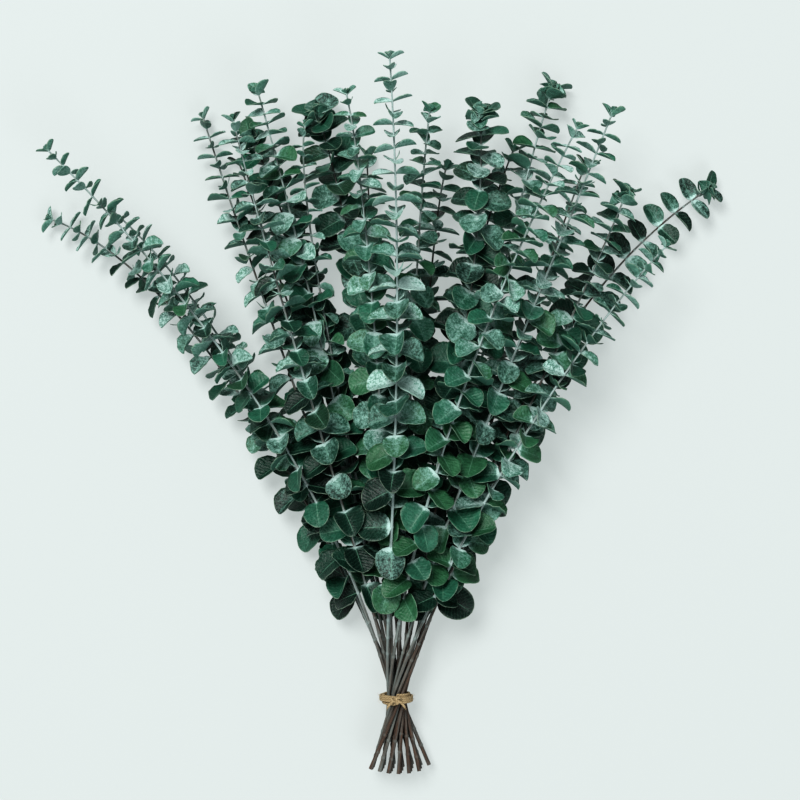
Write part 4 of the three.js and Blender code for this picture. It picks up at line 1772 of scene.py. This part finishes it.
@dataclass
class TwineTie:
    """The tie: two layers of twine round the neck, a knot on top and two short frayed ends."""

    sides: int = 12
    strands: int = 3
    groove: float = 0.2
    groove_power: float = 1.4
    groove_shade: float = 1.5
    lay_length: float = 6.5
    fibre_stretch: float = 0.5
    fibre_turn: float = 1.3
    end_taper: float = 0.25
    taper_reach: float = 1.2
    section_gap: float = 0.55
    turns: int = 3
    pressed: float = 0.98
    inner_layer: float = 1.9
    inner_spread: float = 0.9
    knot_half: Point = (4.2, 3.2, 2.4)
    knot_pressed: float = 0.92
    knot_lift: float = 0.1
    knot_reach: Range = (2.75, 2.8)
    wrap_sway: float = 0.3
    end_length: float = 7.0
    end_rise: float = 2.2
    brush: int = 14
    brush_spread: float = 0.32
    brush_length: Range = (1.0, 2.2)
    hairs: int = 90
    hair_radius: float = 0.07
    hair_taper: float = 1.2
    hair_curl: float = 0.5
    hair_length: Range = (1.0, 2.6)
    hair_area: float = 2.4
    hair_depth: float = 0.25

    def _frames(self, line: np.ndarray) -> tuple[Frames, np.ndarray]:
        """Evenly spaced frames on a line, which turn as little as they can.

        Args:
            line: Points of the line.

        Returns:
            The frames, and their distances along the line.
        """
        steps = np.linalg.norm(np.diff(line, axis=0), axis=1)
        lengths = np.concatenate(([0], np.cumsum(steps)))
        wanted = np.linspace(0, lengths[-1], max(4, int(lengths[-1] / self.section_gap)))
        points = np.stack([np.interp(wanted, lengths, line[:, axis]) for axis in range(3)], 1)
        along = unit(np.gradient(points, axis=0))
        side = np.zeros_like(points)
        side[0] = unit(np.cross(along[0], (0.3, 0.2, 1.0)))
        for i in range(1, len(points)):
            side[i] = unit(side[i - 1] - along[i] * np.dot(side[i - 1], along[i]))
        return Frames(points, along, side, np.cross(side, along)), wanted

    def strand(self, skin: Skin, line: np.ndarray, radius: float, tapered: bool = True) -> None:
        """Adds a twisted strand along a line.

        Args:
            skin: The mesh in the making.
            line: Points of the line.
            radius: Outer radius.
            tapered: Whether the two ends narrow.
        """
        frames, wanted = self._frames(line)
        count, sides = len(wanted), self.sides
        angles = np.arange(sides) * math.tau / sides
        turned = angles[None, :] - wanted[:, None] * math.tau / self.lay_length
        lobes = np.abs(np.sin(turned * self.strands / 2))
        profile = radius * (1 - self.groove * (1 - lobes) ** self.groove_power)
        taper = np.ones(count)
        if tapered:
            ends = np.minimum(wanted, wanted[-1] - wanted)
            narrow = self.end_taper
            taper = np.clip(narrow + ends / (self.taper_reach * radius), narrow, 1)
        ring = tube_points(frames, profile * taper[:, None], sides)
        faces = tube_faces(count, sides)
        faces.append(tuple(range(sides)))
        faces.append(tuple((count - 1) * sides + i for i in reversed(range(sides))))
        lengths = np.repeat(wanted * self.fibre_stretch, sides)
        around = (turned * self.fibre_turn).ravel()
        surface = np.stack((lengths, around, np.zeros(len(ring))), 1)
        place = np.zeros((len(ring), 3))
        # How deep each point lies in a groove, which the twine's colour turns into painted shade.
        place[:, 2] = (1 - lobes).ravel() ** self.groove_shade
        skin.add(ring, faces, 0, leaf_surface=surface, leaf_place=place)

    def hull(self, inside: float) -> np.ndarray:
        """A closed oval line round the neck.

        Args:
            inside: How far it lies inside the outer turns, in millimetres.

        Returns:
            Its points. The last is the first again.
        """
        angles = np.linspace(0, math.tau, 121)
        half_x = NECK.half_width + NECK.twine / 2 - inside
        half_z = NECK.half_height + NECK.twine / 2 - inside
        return np.stack((np.sin(angles) * half_x, angles * 0, np.cos(angles) * half_z), 1)

    def winding(self, skin: Skin) -> None:
        """Adds both layers of turns, which climb from one end of the tie to the other.

        Args:
            skin: The mesh in the making.
        """
        layers = ((0.0, self.turns), (self.inner_layer, self.turns + 1))
        for layer, (inside, turns) in enumerate(layers):
            oval = self.hull(inside)
            around = np.vstack([oval[:-1]] * turns + [oval[:1]])
            climb = np.linspace(-0.5, 0.5, len(around))
            width = (turns - 1) * NECK.twine * self.pressed + self.inner_spread * layer
            around[:, 1] = climb * width * (1 - 2 * layer)
            self.strand(skin, around, NECK.twine / 2 * self.pressed)

    def knot(self, skin: Skin) -> None:
        """Adds the knot: a small overhand loop that is drawn tight, and its two ends.

        Args:
            skin: The mesh in the making.
        """
        top = NECK.half_height + NECK.twine
        radius = NECK.twine / 2 * self.knot_pressed
        half_x, half_y, half_z = (size - radius for size in self.knot_half)
        angles = np.linspace(0, math.tau, 90)
        reach_x, reach_y = self.knot_reach
        loop_x = (np.sin(angles) + 2 * np.sin(2 * angles)) / reach_x * half_x
        loop_y = (np.cos(angles) - 2 * np.cos(2 * angles)) / reach_y * half_y
        loop_z = -np.sin(3 * angles) * half_z + top + self.knot_lift
        self.strand(skin, np.stack((loop_x, loop_y, loop_z), 1), radius, tapered=False)
        wrap_x, wrap_y = self.wrap_sway * np.sin(angles), np.cos(angles) * half_y
        wrap = np.stack((wrap_x, wrap_y, top + np.sin(angles) * half_z), 1)
        self.strand(skin, wrap, radius, tapered=False)
        reach = self.end_length
        for way in (-1, 1):
            share = np.linspace(0, 1, 24)[:, None]
            start = np.array((way * 1.0, 0.0, top + 0.6))
            bend = np.array((way * reach * 0.7, -2.0, top + self.end_rise))
            end = np.array((way * (reach - 0.6), -reach * 0.8, top + 1.0))
            line = (1 - share) ** 2 * start + 2 * (1 - share) * share * bend + share**2 * end
            self.strand(skin, line, radius)
            self.fray(skin, line[-1], line[-1] - line[-3], 400 + way)

    def fray(self, skin: Skin, root: np.ndarray, way: np.ndarray, seed: int) -> None:
        """Adds a brush of loose fibres at a cut end.

        Args:
            skin: The mesh in the making.
            root: The middle of the cut end.
            way: Where the end points.
            seed: The seed of the brush's draws.
        """
        rng = np.random.default_rng(seed)
        way = way / np.linalg.norm(way)
        for _ in range(self.brush):
            heading = unit(way + rng.uniform(-self.brush_spread, self.brush_spread, 3))
            start = root - way * 0.5 + rng.uniform(-0.35, 0.35, 3)
            self.hair(skin, start, heading, rng.uniform(*self.brush_length), rng)

    def hair(
        self, skin: Skin, root: np.ndarray, heading: np.ndarray, length: float,
        rng: np.random.Generator,
    ) -> None:
        """Adds one thin curved fibre with three sides, closed at both ends.

        Args:
            skin: The mesh in the making.
            root: Where it starts.
            heading: Where it points.
            length: Its length in millimetres.
            rng: The draws for its curl.
        """
        curl = rng.uniform(-self.hair_curl, self.hair_curl, 3)
        share = np.linspace(0, 1, 5)[:, None]
        line = root + heading * share * length + curl * share**2 * length * 0.5
        along = unit(np.gradient(line, axis=0))
        side = unit(np.cross(along, (0.3, 0.2, 1.0)))
        frames = Frames(line, along, side, np.cross(side, along))
        points = tube_points(frames, self.hair_radius * (self.hair_taper - share[:, 0]), 3)
        faces = tube_faces(5, 3) + [(0, 1, 2), (14, 13, 12)]
        skin.add(points, faces, 0, leaf_surface=points, leaf_place=np.zeros(3))

    def stray_hairs(self, skin: Skin) -> None:
        """Adds loose fibres that stand off the outer turns.

        Args:
            skin: The mesh in the making.
        """
        rng = np.random.default_rng(77)
        size = np.array((NECK.half_width, 1, NECK.half_height)) + (NECK.twine, 0, NECK.twine)
        size -= self.hair_depth
        for _ in range(self.hairs):
            angle = rng.uniform(0, math.tau)
            out = np.array((math.sin(angle), 0.0, math.cos(angle)))
            root = out * size + np.array((0.0, rng.uniform(-self.hair_area, self.hair_area), 0.0))
            heading = unit(out * rng.uniform(0.15, 0.6) + rng.uniform(-1, 1, 3))
            self.hair(skin, root, heading, rng.uniform(*self.hair_length), rng)

    def make(self, offset: np.ndarray, materials: list[bpy.types.Material]) -> bpy.types.Object:
        """Builds the piece, which replaces the solid tie.

        Args:
            offset: The shift from the tie to the row's origin, in millimetres.
            materials: The twine.

        Returns:
            The piece.
        """
        skin = Skin()
        self.winding(skin)
        self.knot(skin)
        self.stray_hairs(skin)
        centre = np.array((-NECK.layer_pitch, 0.0, NECK.height))
        piece = skin.piece("twine_tie", offset + centre, materials)
        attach(piece, "root")
        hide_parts("tie")
        return piece


@dataclass
class Bunch:
    """The whole bunch: its stems, its tie and their finishes."""

    rule: LeafRule = field(default_factory=LeafRule)
    effects: Effects = field(default_factory=Effects)
    deep_young: Colour = (0.035, 0.032, 0.026)
    less_wax: float = 0.25

    def offset(self) -> np.ndarray:
        """Finds where the tie's own origin is in the row's frame.

        Returns:
            The shift from the middle of the tie on the table to the row's origin, in millimetres.
        """
        low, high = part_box("tie")
        across = (low[0] + high[0]) / 2 / MM + NECK.layer_pitch
        return np.array((across, high[1] / MM - NECK.knot_half_width, 0.0))

    def stem_materials(self, plan: StemPlan, cut: bpy.types.Material) -> list[bpy.types.Material]:
        """Builds one stem's materials.

        Args:
            plan: The stem's entry in the plan.
            cut: The cut wood, which all stems share.

        Returns:
            Leaf, bark and cut wood.
        """
        leaf = LeafFinish("leaf " + plan.name, amount=plan.bloom, light=plan.light)
        bark = BarkFinish("bark " + plan.name, amount=plan.bloom)
        if plan.tone is Tone.DEEP:
            bark = replace(bark, young=self.deep_young, amount=plan.bloom - self.less_wax)
        return [leaf.make(self.effects), bark.make(self.effects), cut]

    def make(self) -> None:
        """Builds every piece in order."""
        cut = CutFinish().make(self.effects)
        offset = self.offset()
        paths = [StemPath(plan) for plan in STEMS]
        leaves = LeafPlacer(paths, self.rule).place_all()
        for seed, (plan, path, own) in enumerate(zip(STEMS, paths, leaves)):
            wanted = 2 * len(self.rule.pairs(path.length))
            stem = LeafyStem(plan, path, own, self.rule, seed)
            piece = stem.make(offset, self.stem_materials(plan, cut))
            faces = len(piece.data.polygons)
            LOG.info("%s: %d of %d leaves, %d faces", piece.name, len(own), wanted, faces)
        tie = TwineTie().make(offset, [TwineFinish().make(self.effects)])
        LOG.info("%s: %d faces", tie.name, len(tie.data.polygons))


@dataclass(frozen=True)
class Lamp:
    """A soft square lamp: where it stands and its side, in metres, its watts and its colour."""

    name: str
    place: Point
    size: float
    power: float
    colour: Colour

    def make(self) -> None:
        """Adds the lamp, which looks at the bunch."""
        light = bpy.data.lights.new(self.name, "AREA")
        light.size, light.energy, light.color = self.size, self.power, self.colour
        lamp = bpy.data.objects.new(self.name, light)
        lamp.location = self.place
        lamp.rotation_euler = (-Vector(self.place)).to_track_quat("-Z", "Y").to_euler()
        bpy.context.scene.collection.objects.link(lamp)


@dataclass
class Studio:
    """A pale table with a faint painted glow, soft light and the camera, which looks straight down."""

    table_half: float = 9.0
    table_colour: Colour = (0.181, 0.19, 0.191)
    table_roughness: float = 0.9
    # The table glows a little: painted light that lifts the shadows on it and lights the bunch from below.
    table_glow: Colour = (0.93, 1.0, 0.985)
    glow_strength: float = 0.365
    camera_height: float = 1.615
    camera_place: tuple[float, float] = (0.01295, 0.01543)
    lens: float = 100.0
    sky_colour: Colour = (0.9, 0.97, 0.96)
    sky_strength: float = 0.26
    lamps: tuple[Lamp, ...] = (
        Lamp("window", (-1.5, 2.1, 5.0), 2.4, 285.0, (1.0, 1.0, 0.98)),
        Lamp("fill", (1.6, -2.6, 3.8), 2.4, 62.0, (0.95, 0.98, 1.0)),
    )

    def table(self) -> None:
        """Adds the table's pale top."""
        half = self.table_half
        corners = [(-half, -half, 0), (half, -half, 0), (half, half, 0), (-half, half, 0)]
        mesh = bpy.data.meshes.new("table")
        mesh.from_pydata(corners, [], [(0, 1, 2, 3)])
        material, _, shader = new_material("pale table")
        shader.inputs["Base Color"].default_value = (*self.table_colour, 1)
        shader.inputs["Roughness"].default_value = self.table_roughness
        # Painted light: the glow that lifts the table's shadows.
        shader.inputs["Emission Color"].default_value = (*self.table_glow, 1)
        shader.inputs["Emission Strength"].default_value = self.glow_strength
        mesh.materials.append(material)
        top = bpy.data.objects.new("table", mesh)
        bpy.context.scene.collection.objects.link(top)

    def light(self) -> None:
        """Adds the sky and the lamps."""
        world = bpy.data.worlds.new("sky")
        world.use_nodes = True
        background = world.node_tree.nodes["Background"]
        background.inputs["Color"].default_value = (*self.sky_colour, 1)
        background.inputs["Strength"].default_value = self.sky_strength
        scene = bpy.context.scene
        scene.world = world
        scene.view_settings.view_transform = "Standard"
        scene.view_settings.look = "High Contrast"
        for lamp in self.lamps:
            lamp.make()

    def camera(self) -> None:
        """Adds the camera above the bunch."""
        data = bpy.data.cameras.new("camera")
        data.lens = self.lens
        camera = bpy.data.objects.new("camera", data)
        camera.location = (*self.camera_place, self.camera_height)
        bpy.context.scene.collection.objects.link(camera)
        bpy.context.scene.camera = camera

    def make(self) -> None:
        """Adds everything round the bunch."""
        self.camera()
        self.table()
        self.light()


def main() -> None:
    """Builds the scene in order."""
    logging.basicConfig(level=logging.INFO, format="%(message)s")
    Studio().make()
    Bunch().make()


if __name__ == "__main__":
    main()
